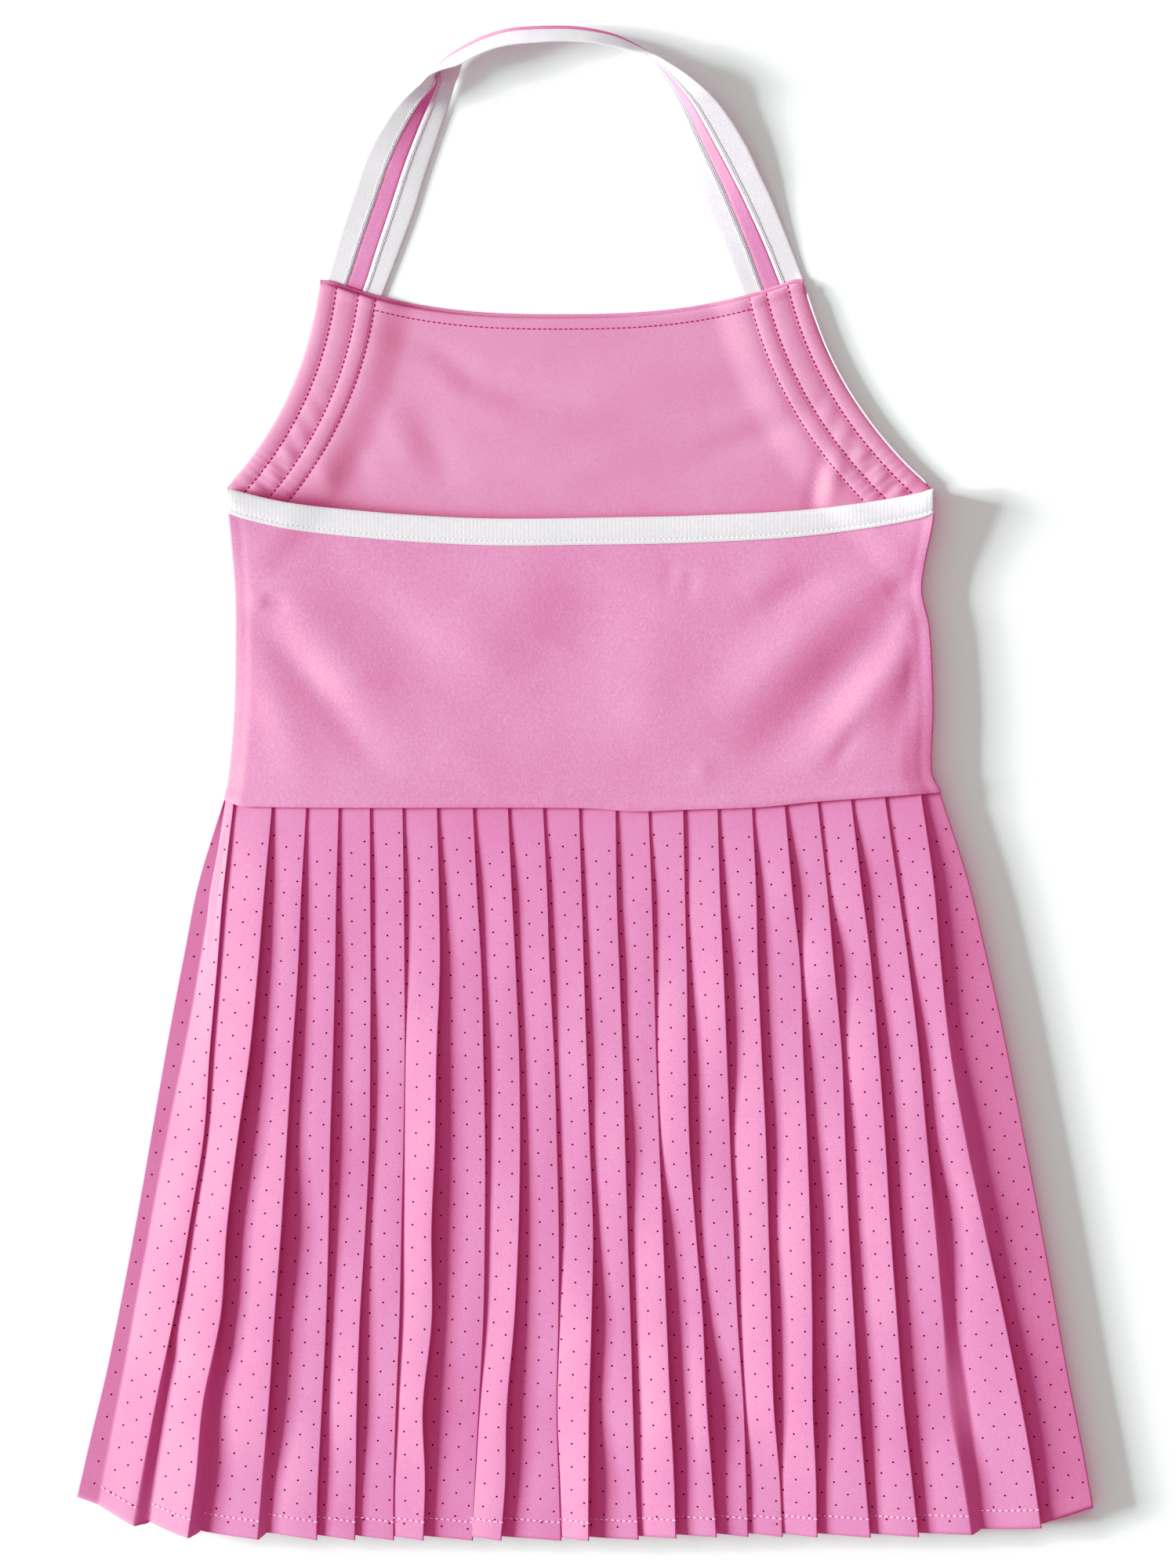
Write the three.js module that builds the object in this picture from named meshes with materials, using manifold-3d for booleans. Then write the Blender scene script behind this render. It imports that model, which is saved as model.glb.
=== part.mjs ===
// A girl's halter tennis dress, lying flat on its front with its back up.
// Pieces: front shell, front lining, back panel, back binding, front and back pleated skirt, and the
// three bands (white, pink, white) that edge the armholes and run on round the neck as the strap.
// Millimetres. +X is the viewer's right, +Y points from the hem to the neck, +Z up from the table.
// The origin is the middle of the dress's footprint, on the table.
import * as THREE from "three";
import Module from "manifold-3d";

// Cloth
const CLOTH = 1.0; // wall of every panel
const BAND_CLOTH = 1.2; // wall of the strap's bands
const SEAM_GAP = 0.36;
const LAYER = CLOTH + SEAM_GAP; // centre to centre of two panels that lie on each other
const HALF = CLOTH / 2;

// Bodice
const NECK_LEFT = [-121.7, 231.1]; // top corners of the front, where the strap leaves it
const NECK_RIGHT = [100.3, 231.5];
const NECK_SAG = 15.5; // how far the neckline dips in the middle
const SHELL_ABOVE_LINING = 1.8; // the outer cloth shows above the lining's neckline
const ARMHOLE_LEFT = [-128.5, 174.4]; // the armhole curves' pull points
const ARMHOLE_RIGHT = [112.5, 176.2];
const CORNER_LEFT = [-164.9, 135.7]; // where armhole, side seam and back binding meet
const CORNER_RIGHT = [159.8, 134.5];
const BACK_SAG = 14.5; // how far the back's top edge dips in the middle
const BINDING_WIDTH = 11;
const BACK_RISE = 6.4; // the back panel bows up from its side seams by this
const ROLL_WIDTH = 42; // over this distance from a side seam

// Skirt
const SKIRT_TUCK = 5; // the skirt's top edge reaches this far under the bodice
const KNEE = 0.4624; // the share of the skirt's length where the tables' middle column is measured
const FOLD_SPACING = 1.38; // centre to centre of two layers inside a pleat
const TUCK_DEPTH = 6; // a knife pleat's underlay, under the fold edge
const SKIRT_MIDDLE = 10.2; // centre height of the back skirt's lowest layer, clear of the sides
const PLEAT_AT_WAIST = 2.72; // height of a pleat's fold edge over its tucked edge
const PLEAT_AT_HEM = 4.6;
const HEM_DIP = 1.4; // the fold edges hang lower than the underlays at the hem
const FRONT_PLEATS = 21;
const FRONT_PLEAT_INSET = 12; // the front's first fold lies this far inside the side seam
const WAIST_LIFT = LAYER; // the front skirt's top edge lies on the shell's lower edge

// Strap bands, from the neck side outwards
const BANDS = [
  { name: "strap_inner_band", width: 10, colour: 0xf6f3f6 },
  { name: "strap_centre", width: 7.5, colour: 0xdf7cb4 },
  { name: "strap_outer_band", width: 10, colour: 0xf6f3f6 },
];
const STRAP_WIDTH = BANDS.reduce((sum, band) => sum + band.width, 0);
const BAND_SHOWS = 0.8; // the outer band shows this far past the armhole's edge
const BAND_RUNS_ON = 46; // past the corner, before it is cut along the side seam

const PINK = 0xe58bc0;
const LINING_PINK = 0xe08dbb;
const WHITE = 0xf6f3f6;

// The bodice's side seams, from the corners down to the waist.
const SIDES = [
  { y: 135.7, left: -164.9, right: 159.8 },
  { y: 121, left: -163, right: 159.6 },
  { y: 99.5, left: -161, right: 155.4 },
  { y: 87.5, left: -160.2, right: 154.4 },
  { y: 72, left: -160, right: 157.8 },
  { y: 36, left: -160, right: 159.6 },
  { y: 5, left: -161.8, right: 159 },
  { y: -4, left: -166.3, right: 163.3 },
];
const WAIST = [
  { x: -166.3, y: -7.6 },
  { x: -156, y: -10.8 },
  { x: 0, y: -11.5 },
  { x: 22, y: -13 },
  { x: 81, y: -11 },
  { x: 141, y: -6 },
  { x: 163.3, y: -4.3 },
];
const HEM = [
  { x: -233.6, y: -327.5 },
  { x: -207, y: -337 },
  { x: -182, y: -343.5 },
  { x: -150, y: -345.4 },
  { x: 0, y: -347.2 },
  { x: 60, y: -345.5 },
  { x: 153, y: -345.4 },
  { x: 209, y: -341 },
  { x: 234, y: -333.8 },
];
// The side seams of the skirt; bulge is how far the hip stands out past a smooth curve.
const SKIRT_SIDES = [
  { waist: -166.3, knee: -200.5, hem: -233.6, bulge: -3.4 },
  { waist: 163.3, knee: 204.1, hem: 234, bulge: 4.6 },
];
// The back's knife pleats: x of each fold edge at the waist, at the knee row and at the hem. A pleat with
// an open width stands open there instead of lying on its underlay.
const FOLDS = [
  { waist: -158.8, knee: -175.5, hem: -207.4, open: 8.7 },
  { waist: -142, knee: -159.6, hem: -181.9, open: 6.8 },
  { waist: -127.1, knee: -136.6, hem: -150.3, open: 4.3 },
  { waist: -112.2, knee: -116.6, hem: -123.1, open: 0 },
  { waist: -98.1, knee: -98.5, hem: -105.3, open: 0 },
  { waist: -82.9, knee: -82.8, hem: -87.5, open: 0 },
  { waist: -67.4, knee: -68.9, hem: -74.2, open: 0 },
  { waist: -49.9, knee: -45.7, hem: -51.5, open: 0 },
  { waist: -33.8, knee: -29.9, hem: -38.5, open: 0 },
  { waist: -17.8, knee: -12.2, hem: -10.6, open: 0 },
  { waist: -1.7, knee: 2.5, hem: 1.8, open: 0 },
  { waist: 15.1, knee: 18.9, hem: 24.5, open: 0 },
  { waist: 29.5, knee: 34.6, hem: 41.4, open: 0 },
  { waist: 45.4, knee: 48.2, hem: 60, open: 0 },
  { waist: 61.7, knee: 67.1, hem: 74.5, open: 0 },
  { waist: 77.3, knee: 83.3, hem: 90.5, open: 0 },
  { waist: 92.7, knee: 102.6, hem: 106.6, open: 0 },
  { waist: 107.9, knee: 120.2, hem: 131.3, open: 0 },
  { waist: 123.3, knee: 138.7, hem: 153.4, open: 0 },
  { waist: 138.6, knee: 158.3, hem: 178.2, open: 3.7 },
  { waist: 154.7, knee: 177.5, hem: 208.8, open: 0 },
];
// The crease where the skirt's left edge turns down, outside the first pleat.
const SIDE_CREASE = { waist: -162.8, knee: -191.2, hem: -223.4 };
// The strap's loop, from the left corner round the neck to the right one: the plan place of the foot
// (the neck-side edge, which stays on the table) and each band's lean in degrees. 0 lies flat
// outwards, 90 stands up and over 90 leans in over the neck.
const LOOP = [
  { x: -92.2, y: 225.7, inner: 0, centre: 0, outer: 0 },
  { x: -88, y: 236.5, inner: 0, centre: 0, outer: 3 },
  { x: -83.9, y: 247.3, inner: 0, centre: 6, outer: 18 },
  { x: -77.1, y: 269.6, inner: 0, centre: 22, outer: 30 },
  { x: -70.7, y: 292.1, inner: 0, centre: 46, outer: 42 },
  { x: -64.3, y: 311.4, inner: 4, centre: 68, outer: 60 },
  { x: -58, y: 327.2, inner: 20, centre: 92, outer: 82 },
  { x: -48.5, y: 339.5, inner: 75, centre: 97, outer: 103 },
  { x: -34.6, y: 346.7, inner: 96, centre: 99, outer: 120 },
  { x: -13, y: 349, inner: 97, centre: 100, outer: 128 },
  { x: 6.8, y: 346.4, inner: 96, centre: 99, outer: 122 },
  { x: 21.2, y: 339.3, inner: 76, centre: 97, outer: 104 },
  { x: 31, y: 329, inner: 20, centre: 92, outer: 82 },
  { x: 36.7, y: 317.2, inner: 4, centre: 68, outer: 60 },
  { x: 41.8, y: 301.7, inner: 0, centre: 46, outer: 42 },
  { x: 49.9, y: 279.4, inner: 0, centre: 22, outer: 28 },
  { x: 57.9, y: 259.9, inner: 0, centre: 8, outer: 16 },
  { x: 65.9, y: 242.3, inner: 0, centre: 0, outer: 4 },
  { x: 72.6, y: 224.6, inner: 0, centre: 0, outer: 0 },
];
// Soft troughs (negative) and ridges in the back panel, each along a line from one point to another.
const BACK_CREASES = [
  { x1: -140, y1: 100, x2: -40, y2: 20, height: -1.6, reach: 13 },
  { x1: -156, y1: 70, x2: -105, y2: 8, height: -1.5, reach: 10 },
  { x1: -118, y1: 96, x2: -30, y2: 70, height: 1.1, reach: 14 },
  { x1: 150, y1: 92, x2: 30, y2: 4, height: -1.8, reach: 14 },
  { x1: 140, y1: 110, x2: 62, y2: 78, height: -1.2, reach: 12 },
  { x1: 152, y1: 80, x2: 92, y2: 10, height: 1.3, reach: 12 },
  { x1: 10, y1: 96, x2: 4, y2: 30, height: -1.2, reach: 20 },
];

const lerp = THREE.MathUtils.lerp;
const clamp01 = (value) => Math.min(1, Math.max(0, value));
const ease = (value) => THREE.MathUtils.smoothstep(value, 0, 1);
const shares = (count) => Array.from({ length: count + 1 }, (_, i) => i / count);

// A smooth value through a table's rows, which are sorted by the key column.
function along(rows, key, column, at) {
  const falling = rows[0][key] > rows[rows.length - 1][key];
  const sorted = falling ? [...rows].reverse() : rows;
  const last = sorted.length - 1;
  if (at <= sorted[0][key]) return sorted[0][column];
  if (at >= sorted[last][key]) return sorted[last][column];
  const i = sorted.findIndex((row) => row[key] >= at) - 1;
  const slope = (j) => {
    const a = sorted[Math.max(j - 1, 0)];
    const b = sorted[Math.min(j + 1, last)];
    return (b[column] - a[column]) / (b[key] - a[key]);
  };
  const [a, b] = [sorted[i], sorted[i + 1]];
  const span = b[key] - a[key];
  const t = (at - a[key]) / span;
  const h = t * t * (3 - 2 * t);
  return (
    lerp(a[column], b[column], h) +
    span * t * (1 - t) * ((1 - t) * slope(i) - t * slope(i + 1))
  );
}

// The x of a fold or side seam at a share t of the skirt's length: a parabola through its three columns.
function foldX(fold, t) {
  const rise = fold.hem - fold.waist;
  const bend = (fold.knee - fold.waist - rise * KNEE) / (KNEE * (KNEE - 1));
  const bulge = (fold.bulge ?? 0) * Math.sin(Math.PI * clamp01(t / 0.3));
  return fold.waist + rise * t + bend * t * (t - 1) + bulge;
}

// A closed wall from rows of points; each point has its two faces, outer and inner.
function wall(rows) {
  const count = rows[0].length;
  const positions = [];
  const index = [];
  for (const face of ["outer", "inner"])
    for (const row of rows) for (const point of row) positions.push(...point[face]);
  const sheet = rows.length * count;
  const at = (layer, i, j) => layer * sheet + i * count + j;
  const quad = (a, b, c, d) => index.push(a, b, c, a, c, d);
  for (let i = 0; i + 1 < rows.length; i++)
    for (let j = 0; j + 1 < count; j++) {
      quad(at(0, i, j), at(0, i + 1, j), at(0, i + 1, j + 1), at(0, i, j + 1));
      quad(at(1, i, j), at(1, i, j + 1), at(1, i + 1, j + 1), at(1, i + 1, j));
    }
  const end = rows.length - 1;
  for (let j = 0; j + 1 < count; j++) {
    quad(at(0, 0, j), at(0, 0, j + 1), at(1, 0, j + 1), at(1, 0, j));
    quad(at(0, end, j + 1), at(0, end, j), at(1, end, j), at(1, end, j + 1));
  }
  for (let i = 0; i < end; i++) {
    quad(at(0, i + 1, 0), at(0, i, 0), at(1, i, 0), at(1, i + 1, 0));
    quad(at(0, i, count - 1), at(0, i + 1, count - 1), at(1, i + 1, count - 1), at(1, i, count - 1));
  }
  const geometry = new THREE.BufferGeometry();
  geometry.setAttribute("position", new THREE.Float32BufferAttribute(positions, 3));
  geometry.setIndex(index);
  return geometry;
}

// A section's wall: its line in the x-z plane, moved out and in by half the cloth with mitred corners.
function thicken(line) {
  const normal = (a, b) => {
    const length = Math.hypot(b.x - a.x, b.z - a.z);
    return { x: -(b.z - a.z) / length, z: (b.x - a.x) / length };
  };
  return line.map((point, i) => {
    const before = normal(line[Math.max(i - 1, 0)], line[Math.max(i, 1)]);
    const after = normal(line[Math.min(i, line.length - 2)], line[Math.min(i + 1, line.length - 1)]);
    const sum = { x: before.x + after.x, z: before.z + after.z };
    const scale = HALF / (1 + before.x * after.x + before.z * after.z);
    const [dx, dz] = [sum.x * scale, sum.z * scale];
    return {
      outer: [point.x + dx, point.y, point.z + dz],
      inner: [point.x - dx, point.y, point.z - dz],
    };
  });
}

// A panel's wall: a height map, thickened straight up and down.
const upright = (x, y, z, thickness = CLOTH) => ({
  outer: [x, y, z + thickness / 2],
  inner: [x, y, z - thickness / 2],
});

const rollUp = (inset, width) => 1 - (1 - clamp01(inset / width)) ** 2.2;

// Bodice outline

function quadraticAt(a, b, c, t) {
  return [0, 1].map((k) => (1 - t) ** 2 * a[k] + 2 * t * (1 - t) * b[k] + t * t * c[k]);
}

const SIDE_OF = {
  left: { neck: NECK_LEFT, pull: ARMHOLE_LEFT, corner: CORNER_LEFT, outward: -1 },
  right: { neck: NECK_RIGHT, pull: ARMHOLE_RIGHT, corner: CORNER_RIGHT, outward: 1 },
};

const waistY = (x) => along(WAIST, "x", "y", x);

function armhole(side, t) {
  const { neck, pull, corner } = SIDE_OF[side];
  return quadraticAt(neck, pull, corner, t);
}

// Strap bands: the foot's line in plan with the leans, one station after another.

function armholeStations(side) {
  const { outward, corner } = SIDE_OF[side];
  const stations = [];
  for (const t of [0.2, 0.4, 0.6, 0.8, 1]) {
    const [a, b] = [armhole(side, t - 0.01), armhole(side, t)];
    const length = Math.hypot(b[0] - a[0], b[1] - a[1]);
    const down = [(b[0] - a[0]) / length, (b[1] - a[1]) / length];
    const inward = [down[1] * outward, -down[0] * outward];
    const reach = STRAP_WIDTH - BAND_SHOWS;
    stations.push({ x: b[0] + inward[0] * reach, y: b[1] + inward[1] * reach, down });
  }
  const last = stations[stations.length - 1];
  stations.push({
    x: last.x + last.down[0] * BAND_RUNS_ON,
    y: last.y + last.down[1] * BAND_RUNS_ON,
  });
  const flat = stations.map(({ x, y }) => ({ x, y, inner: 0, centre: 0, outer: 0 }));
  return corner[0] < 0 ? flat.reverse() : flat;
}

function strapStations(steps) {
  const all = [...armholeStations("left"), ...LOOP, ...armholeStations("right")];
  const rows = all.map((row, at) => ({ ...row, at }));
  const count = (rows.length - 1) * steps;
  return shares(count).map((share) => {
    const at = share * (rows.length - 1);
    const value = (column) => along(rows, "at", column, at);
    const behind = along(rows, "at", "x", at - 0.05);
    const tangent = [
      along(rows, "at", "x", at + 0.05) - behind,
      along(rows, "at", "y", at + 0.05) - along(rows, "at", "y", at - 0.05),
    ];
    const length = Math.hypot(...tangent);
    return {
      x: value("x"),
      y: value("y"),
      outward: [-tangent[1] / length, tangent[0] / length],
      leans: ["inner", "centre", "outer"].map((c) => THREE.MathUtils.degToRad(Math.max(0, value(c)))),
    };
  });
}

const STATIONS = strapStations(2);

function bandGeometry(which) {
  const rows = STATIONS.map(({ x, y, outward, leans }) => {
    const place = (out, up) => [x + outward[0] * out, y + outward[1] * out, up];
    let [out, up] = [0, (BAND_CLOTH / 2) * Math.abs(Math.cos(leans[0]))];
    for (let i = 0; i < which; i++) {
      out += BANDS[i].width * Math.cos(leans[i]);
      up += BANDS[i].width * Math.sin(leans[i]);
    }
    const lean = leans[which];
    const trim = (other) =>
      SEAM_GAP / 2 + 0.03 + (BAND_CLOTH / 2) * Math.tan(Math.abs(lean - (other ?? lean)) / 2);
    const ends = [trim(leans[which - 1]), BANDS[which].width - trim(leans[which + 1])];
    return ends.map((reach) => {
      const [o, u] = [out + reach * Math.cos(lean), up + reach * Math.sin(lean)];
      const [no, nu] = [(-Math.sin(lean) * BAND_CLOTH) / 2, (Math.cos(lean) * BAND_CLOTH) / 2];
      return { outer: place(o + no, u + nu), inner: place(o - no, u - nu) };
    });
  });
  return wall(rows);
}

// How far a panel is lifted at (x, y) because the strap's bands run under it: 1 on them, 0 clear of them.
function overBands(x, y) {
  const near = STATIONS.reduce((least, s) => {
    const middle = STRAP_WIDTH / 2;
    const d = Math.hypot(x - s.x - s.outward[0] * middle, y - s.y - s.outward[1] * middle);
    return Math.min(least, d);
  }, Infinity);
  return 1 - ease((near - 34) / 16);
}

// Front shell and lining

const shellHeight = (x, y) =>
  HALF + (BAND_CLOTH + SEAM_GAP) * overBands(x, y);

function frontRows(lift, inset, lowerY) {
  const columns = shares(22);
  const neckY = (u) => lerp(NECK_LEFT[1], NECK_RIGHT[1], u) - NECK_SAG * (1 - (2 * u - 1) ** 4);
  const rows = [];
  for (const t of shares(6)) {
    const [left, right] = [armhole("left", t), armhole("right", t)];
    rows.push({ left, right, drop: (1 - t) ** 2 });
  }
  for (const y of [112, 90, 60, 30])
    rows.push({
      left: [along(SIDES, "y", "left", y), y],
      right: [along(SIDES, "y", "right", y), y],
      drop: 0,
    });
  const grid = rows.map(({ left, right, drop }) =>
    columns.map((u) => {
      const x = lerp(left[0], right[0], u);
      const y = lerp(left[1], right[1], u) + drop * (neckY(u) - neckY(0) - (neckY(1) - neckY(0)) * u);
      return [x, y - inset * drop];
    }),
  );
  const [left, right] = [SKIRT_SIDES[0].waist, SKIRT_SIDES[1].waist];
  grid.push(
    columns.map((u) => {
      const x = lerp(left, right, u);
      return [x, waistY(x) + lowerY];
    }),
  );
  return grid.map((row) => row.map(([x, y]) => upright(x, y, shellHeight(x, y) + lift)));
}

// Back panel

const binding = { top: (u) => lerp(CORNER_LEFT[1], CORNER_RIGHT[1], u) - BACK_SAG * (1 - Math.abs(2 * u - 1) ** 2.6) };

const skirtEdge = (t) => HALF + LAYER + WAIST_LIFT * (1 - ease((t - 0.03) / 0.05));

function skirtBase(x, t) {
  const inset = Math.min(x - foldX(SKIRT_SIDES[0], t), foldX(SKIRT_SIDES[1], t) - x);
  return lerp(skirtEdge(t), SKIRT_MIDDLE, rollUp(inset, ROLL_WIDTH));
}

function creased(x, y) {
  return BACK_CREASES.reduce((sum, c) => {
    const [dx, dy] = [c.x2 - c.x1, c.y2 - c.y1];
    const t = clamp01(((x - c.x1) * dx + (y - c.y1) * dy) / (dx * dx + dy * dy));
    const away = Math.hypot(x - c.x1 - t * dx, y - c.y1 - t * dy) / c.reach;
    return sum + c.height * Math.sin(Math.PI * lerp(0.12, 0.88, t)) * Math.exp(-away * away);
  }, 0);
}

function backHeight(x, y, u, down) {
  const width = 325;
  const inset = Math.min(u, 1 - u) * width;
  const lining = shellHeight(x, y) + LAYER;
  const chest = lining + LAYER + BACK_RISE * rollUp(inset, ROLL_WIDTH);
  const overPleats = (PLEAT_AT_WAIST + 1.3 * clamp01(2 - inset / 12)) * clamp01(inset / 3);
  const waist = skirtBase(x, 0) + LAYER + 0.4 + overPleats;
  const free = rollUp(inset, ROLL_WIDTH) * Math.sin(Math.PI * down);
  return lerp(chest, waist, ease(down)) + creased(x, y) * free;
}

const BACK_COLUMNS = shares(30).map((u) => lerp(u, 0.5 - 0.5 * Math.cos(Math.PI * u), 0.6));
const BACK_ROWS = shares(9);

function backPoint(u, down) {
  const top = binding.top(u);
  const end = waistY(lerp(SKIRT_SIDES[0].waist, SKIRT_SIDES[1].waist, u));
  const y = lerp(top, end, down);
  const edgeY = (side) => lerp(SIDE_OF[side].corner[1], -4, down);
  const left = along(SIDES, "y", "left", edgeY("left"));
  const right = along(SIDES, "y", "right", edgeY("right"));
  const x = lerp(left, right, u);
  return [x, y, backHeight(x, y, u, down)];
}

const backRows = () =>
  BACK_ROWS.map((down) => BACK_COLUMNS.map((u) => upright(...backPoint(u, down), CLOTH * 1.06)));

// The binding is a band folded over the back panel's top edge: a leg on the outside and a lip over the edge.
function bindingGeometry() {
  const sections = BACK_COLUMNS.map((u) => {
    const [x, y, z] = backPoint(u, 0);
    const below = backPoint(u, BACK_ROWS[1]);
    const slope = (z - below[2]) / (y - below[1]);
    const over = z + LAYER + 0.25;
    const lip = y + SEAM_GAP + HALF;
    const legEnd = y - BINDING_WIDTH;
    const legZ = over - slope * BINDING_WIDTH;
    return [
      { outer: [x, lip + HALF, z - HALF], inner: [x, lip - HALF, z - HALF] },
      { outer: [x, lip + HALF, over + HALF], inner: [x, lip - HALF, over - HALF] },
      { outer: [x, legEnd, legZ + HALF], inner: [x, legEnd, legZ - HALF] },
    ];
  });
  const rows = [0, 1, 2].map((k) => sections.map((section) => section[k]));
  return wall(rows);
}

// Back skirt: knife pleats whose fold edges point to +X.

function backSkirtRow(t) {
  const [left, right] = SKIRT_SIDES.map((side) => foldX(side, t));
  const height = lerp(PLEAT_AT_WAIST, PLEAT_AT_HEM, ease(t / 0.7));
  const line = [{ x: left, z: skirtEdge(t), dip: 0 }];
  const tuckX = (x) => x - Math.min(TUCK_DEPTH, 0.5 * (x - left));
  for (const share of [0.5, 1]) {
    const x = lerp(left, foldX(SIDE_CREASE, t), share);
    line.push({ x, z: skirtBase(x, t), dip: 0 });
  }
  for (const fold of FOLDS) {
    const x = foldX(fold, t);
    const base = skirtBase(x, t);
    const opened = fold.open ? ease((t - 0.35) / 0.5) : 0;
    const tuck = { x: tuckX(x), z: skirtBase(tuckX(x), t) };
    const pressed = [
      { x, z: base + height },
      { x, z: base + height - FOLD_SPACING },
      { x: tuck.x, z: tuck.z + FOLD_SPACING },
      tuck,
    ];
    const open = [
      { x, z: base + height },
      { x: x + 0.3 * fold.open, z: base + 0.75 * height },
      { x: x + 0.75 * fold.open, z: base + 0.25 * height },
      { x: x + fold.open, z: base },
    ];
    const dips = [1, 1, 0, 0];
    pressed.forEach((from, i) =>
      line.push({
        x: lerp(from.x, open[i].x, opened),
        z: lerp(from.z, open[i].z, opened),
        dip: dips[i],
      }),
    );
  }
  const lastX = line[line.length - 1].x;
  for (const share of [0.35, 0.7])
    line.push({ x: lerp(lastX, right, share), z: skirtBase(lerp(lastX, right, share), t), dip: 0 });
  line.push({ x: right, z: skirtEdge(t), dip: 0 });
  return line.map((point) => ({ ...point, y: skirtY(point.x, t) - HEM_DIP * point.dip * clamp01(t) }));
}

// The y of the skirt's cloth at a share t of its length, where the waist and hem curves say.
function skirtY(x, t) {
  const [left, right] = SKIRT_SIDES.map((side) => foldX(side, t));
  const across = clamp01((x - left) / (right - left));
  const waist = waistY(lerp(SKIRT_SIDES[0].waist, SKIRT_SIDES[1].waist, across));
  const hem = along(HEM, "x", "y", lerp(SKIRT_SIDES[0].hem, SKIRT_SIDES[1].hem, across));
  return lerp(waist, hem, t);
}

const tuckShare = -SKIRT_TUCK / 336;

const backSkirtRows = () =>
  [tuckShare, 0.03, 0.09, 0.2, 0.34, 0.5, 0.66, 0.83, 1].map((t) => thicken(backSkirtRow(t)));

// Front skirt: the same knife pleats turned over, their faces flat on the table.

function frontSkirtRow(t) {
  const lift = HALF + WAIST_LIFT * (1 - ease((t - 0.03) / 0.05));
  const [left, right] = SKIRT_SIDES.map((side) => foldX(side, t));
  const inset = FRONT_PLEAT_INSET;
  const line = [{ x: -right, z: lift }];
  for (let k = 0; k < FRONT_PLEATS; k++) {
    const x = lerp(-right + inset, -left - inset, (k + 0.5) / FRONT_PLEATS);
    line.push(
      { x, z: lift },
      { x, z: lift + FOLD_SPACING },
      { x: x - TUCK_DEPTH, z: lift + FOLD_SPACING },
      { x: x - TUCK_DEPTH, z: lift + 2 * FOLD_SPACING },
      { x: x + 0.9, z: lift + 2 * FOLD_SPACING },
      { x: x + 3.6, z: lift },
    );
  }
  line.push({ x: -left, z: lift });
  const mirrored = line.reverse().map((point) => ({ x: -point.x, z: point.z }));
  return mirrored.map((point) => ({ ...point, y: skirtY(point.x, t) }));
}

const frontSkirtRows = () =>
  [tuckShare, 0.03, 0.09, 0.5, 1].map((t) => thicken(frontSkirtRow(t)));

// Booleans

const wasm = await Module();
wasm.setup();

function solidOf(geometry) {
  return new wasm.Manifold(
    new wasm.Mesh({
      numProp: 3,
      vertProperties: Float32Array.from(geometry.getAttribute("position").array),
      triVerts: Uint32Array.from(geometry.index.array),
    }),
  );
}

function geometryOf(solid) {
  const mesh = solid.getMesh();
  const geometry = new THREE.BufferGeometry();
  geometry.setAttribute("position", new THREE.Float32BufferAttribute(mesh.vertProperties, 3));
  geometry.setIndex(new THREE.BufferAttribute(mesh.triVerts, 1));
  return geometry;
}

// Everything outside one side seam, as a block 20 mm deep, for cutting the bands off along the seam.
function outsideSeam(side) {
  const { outward, corner } = SIDE_OF[side];
  const far = outward * 300;
  const seam = SIDES.map((row) => [row[side], row.y]);
  const outline = [[far, corner[1]], ...seam, [far, -40]].map(([x, y]) => new THREE.Vector2(x, y));
  if (THREE.ShapeUtils.isClockWise(outline)) outline.reverse();
  const n = outline.length;
  const positions = [10, -10].flatMap((z) => outline.flatMap(({ x, y }) => [x, y, z]));
  const index = THREE.ShapeUtils.triangulateShape(outline, []).flatMap(([a, b, c]) => [
    ...[a, b, c],
    ...[n + a, n + c, n + b],
  ]);
  for (let i = 0; i < n; i++) {
    const j = (i + 1) % n;
    index.push(j, i, n + i, j, n + i, n + j);
  }
  const geometry = new THREE.BufferGeometry();
  geometry.setAttribute("position", new THREE.Float32BufferAttribute(positions, 3));
  geometry.setIndex(index);
  return geometry;
}

function trimmedBand(which) {
  const cut = ["left", "right"].reduce(
    (solid, side) => solid.subtract(solidOf(outsideSeam(side))),
    solidOf(bandGeometry(which)),
  );
  return geometryOf(cut);
}

// The dress

const dress = new THREE.Group();
dress.name = "tennis_dress";

function addPiece(name, geometry, colour, roughness = 0.85) {
  const material = new THREE.MeshStandardMaterial({ color: colour, roughness, metalness: 0 });
  const mesh = new THREE.Mesh(geometry, material);
  mesh.name = name;
  dress.add(mesh);
}

addPiece("front_shell", wall(frontRows(0, -SHELL_ABOVE_LINING, 0)), PINK);
addPiece("front_lining", wall(frontRows(LAYER, 0, SKIRT_TUCK + 2)), LINING_PINK);
addPiece("back_panel", wall(backRows()), PINK);
addPiece("back_binding", bindingGeometry(), WHITE);
addPiece("skirt_front", wall(frontSkirtRows()), PINK);
addPiece("skirt_back", wall(backSkirtRows()), PINK);
BANDS.forEach((band, i) => addPiece(band.name, trimmedBand(i), band.colour));

export default dress;
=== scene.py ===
import math
from functools import partial

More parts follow.
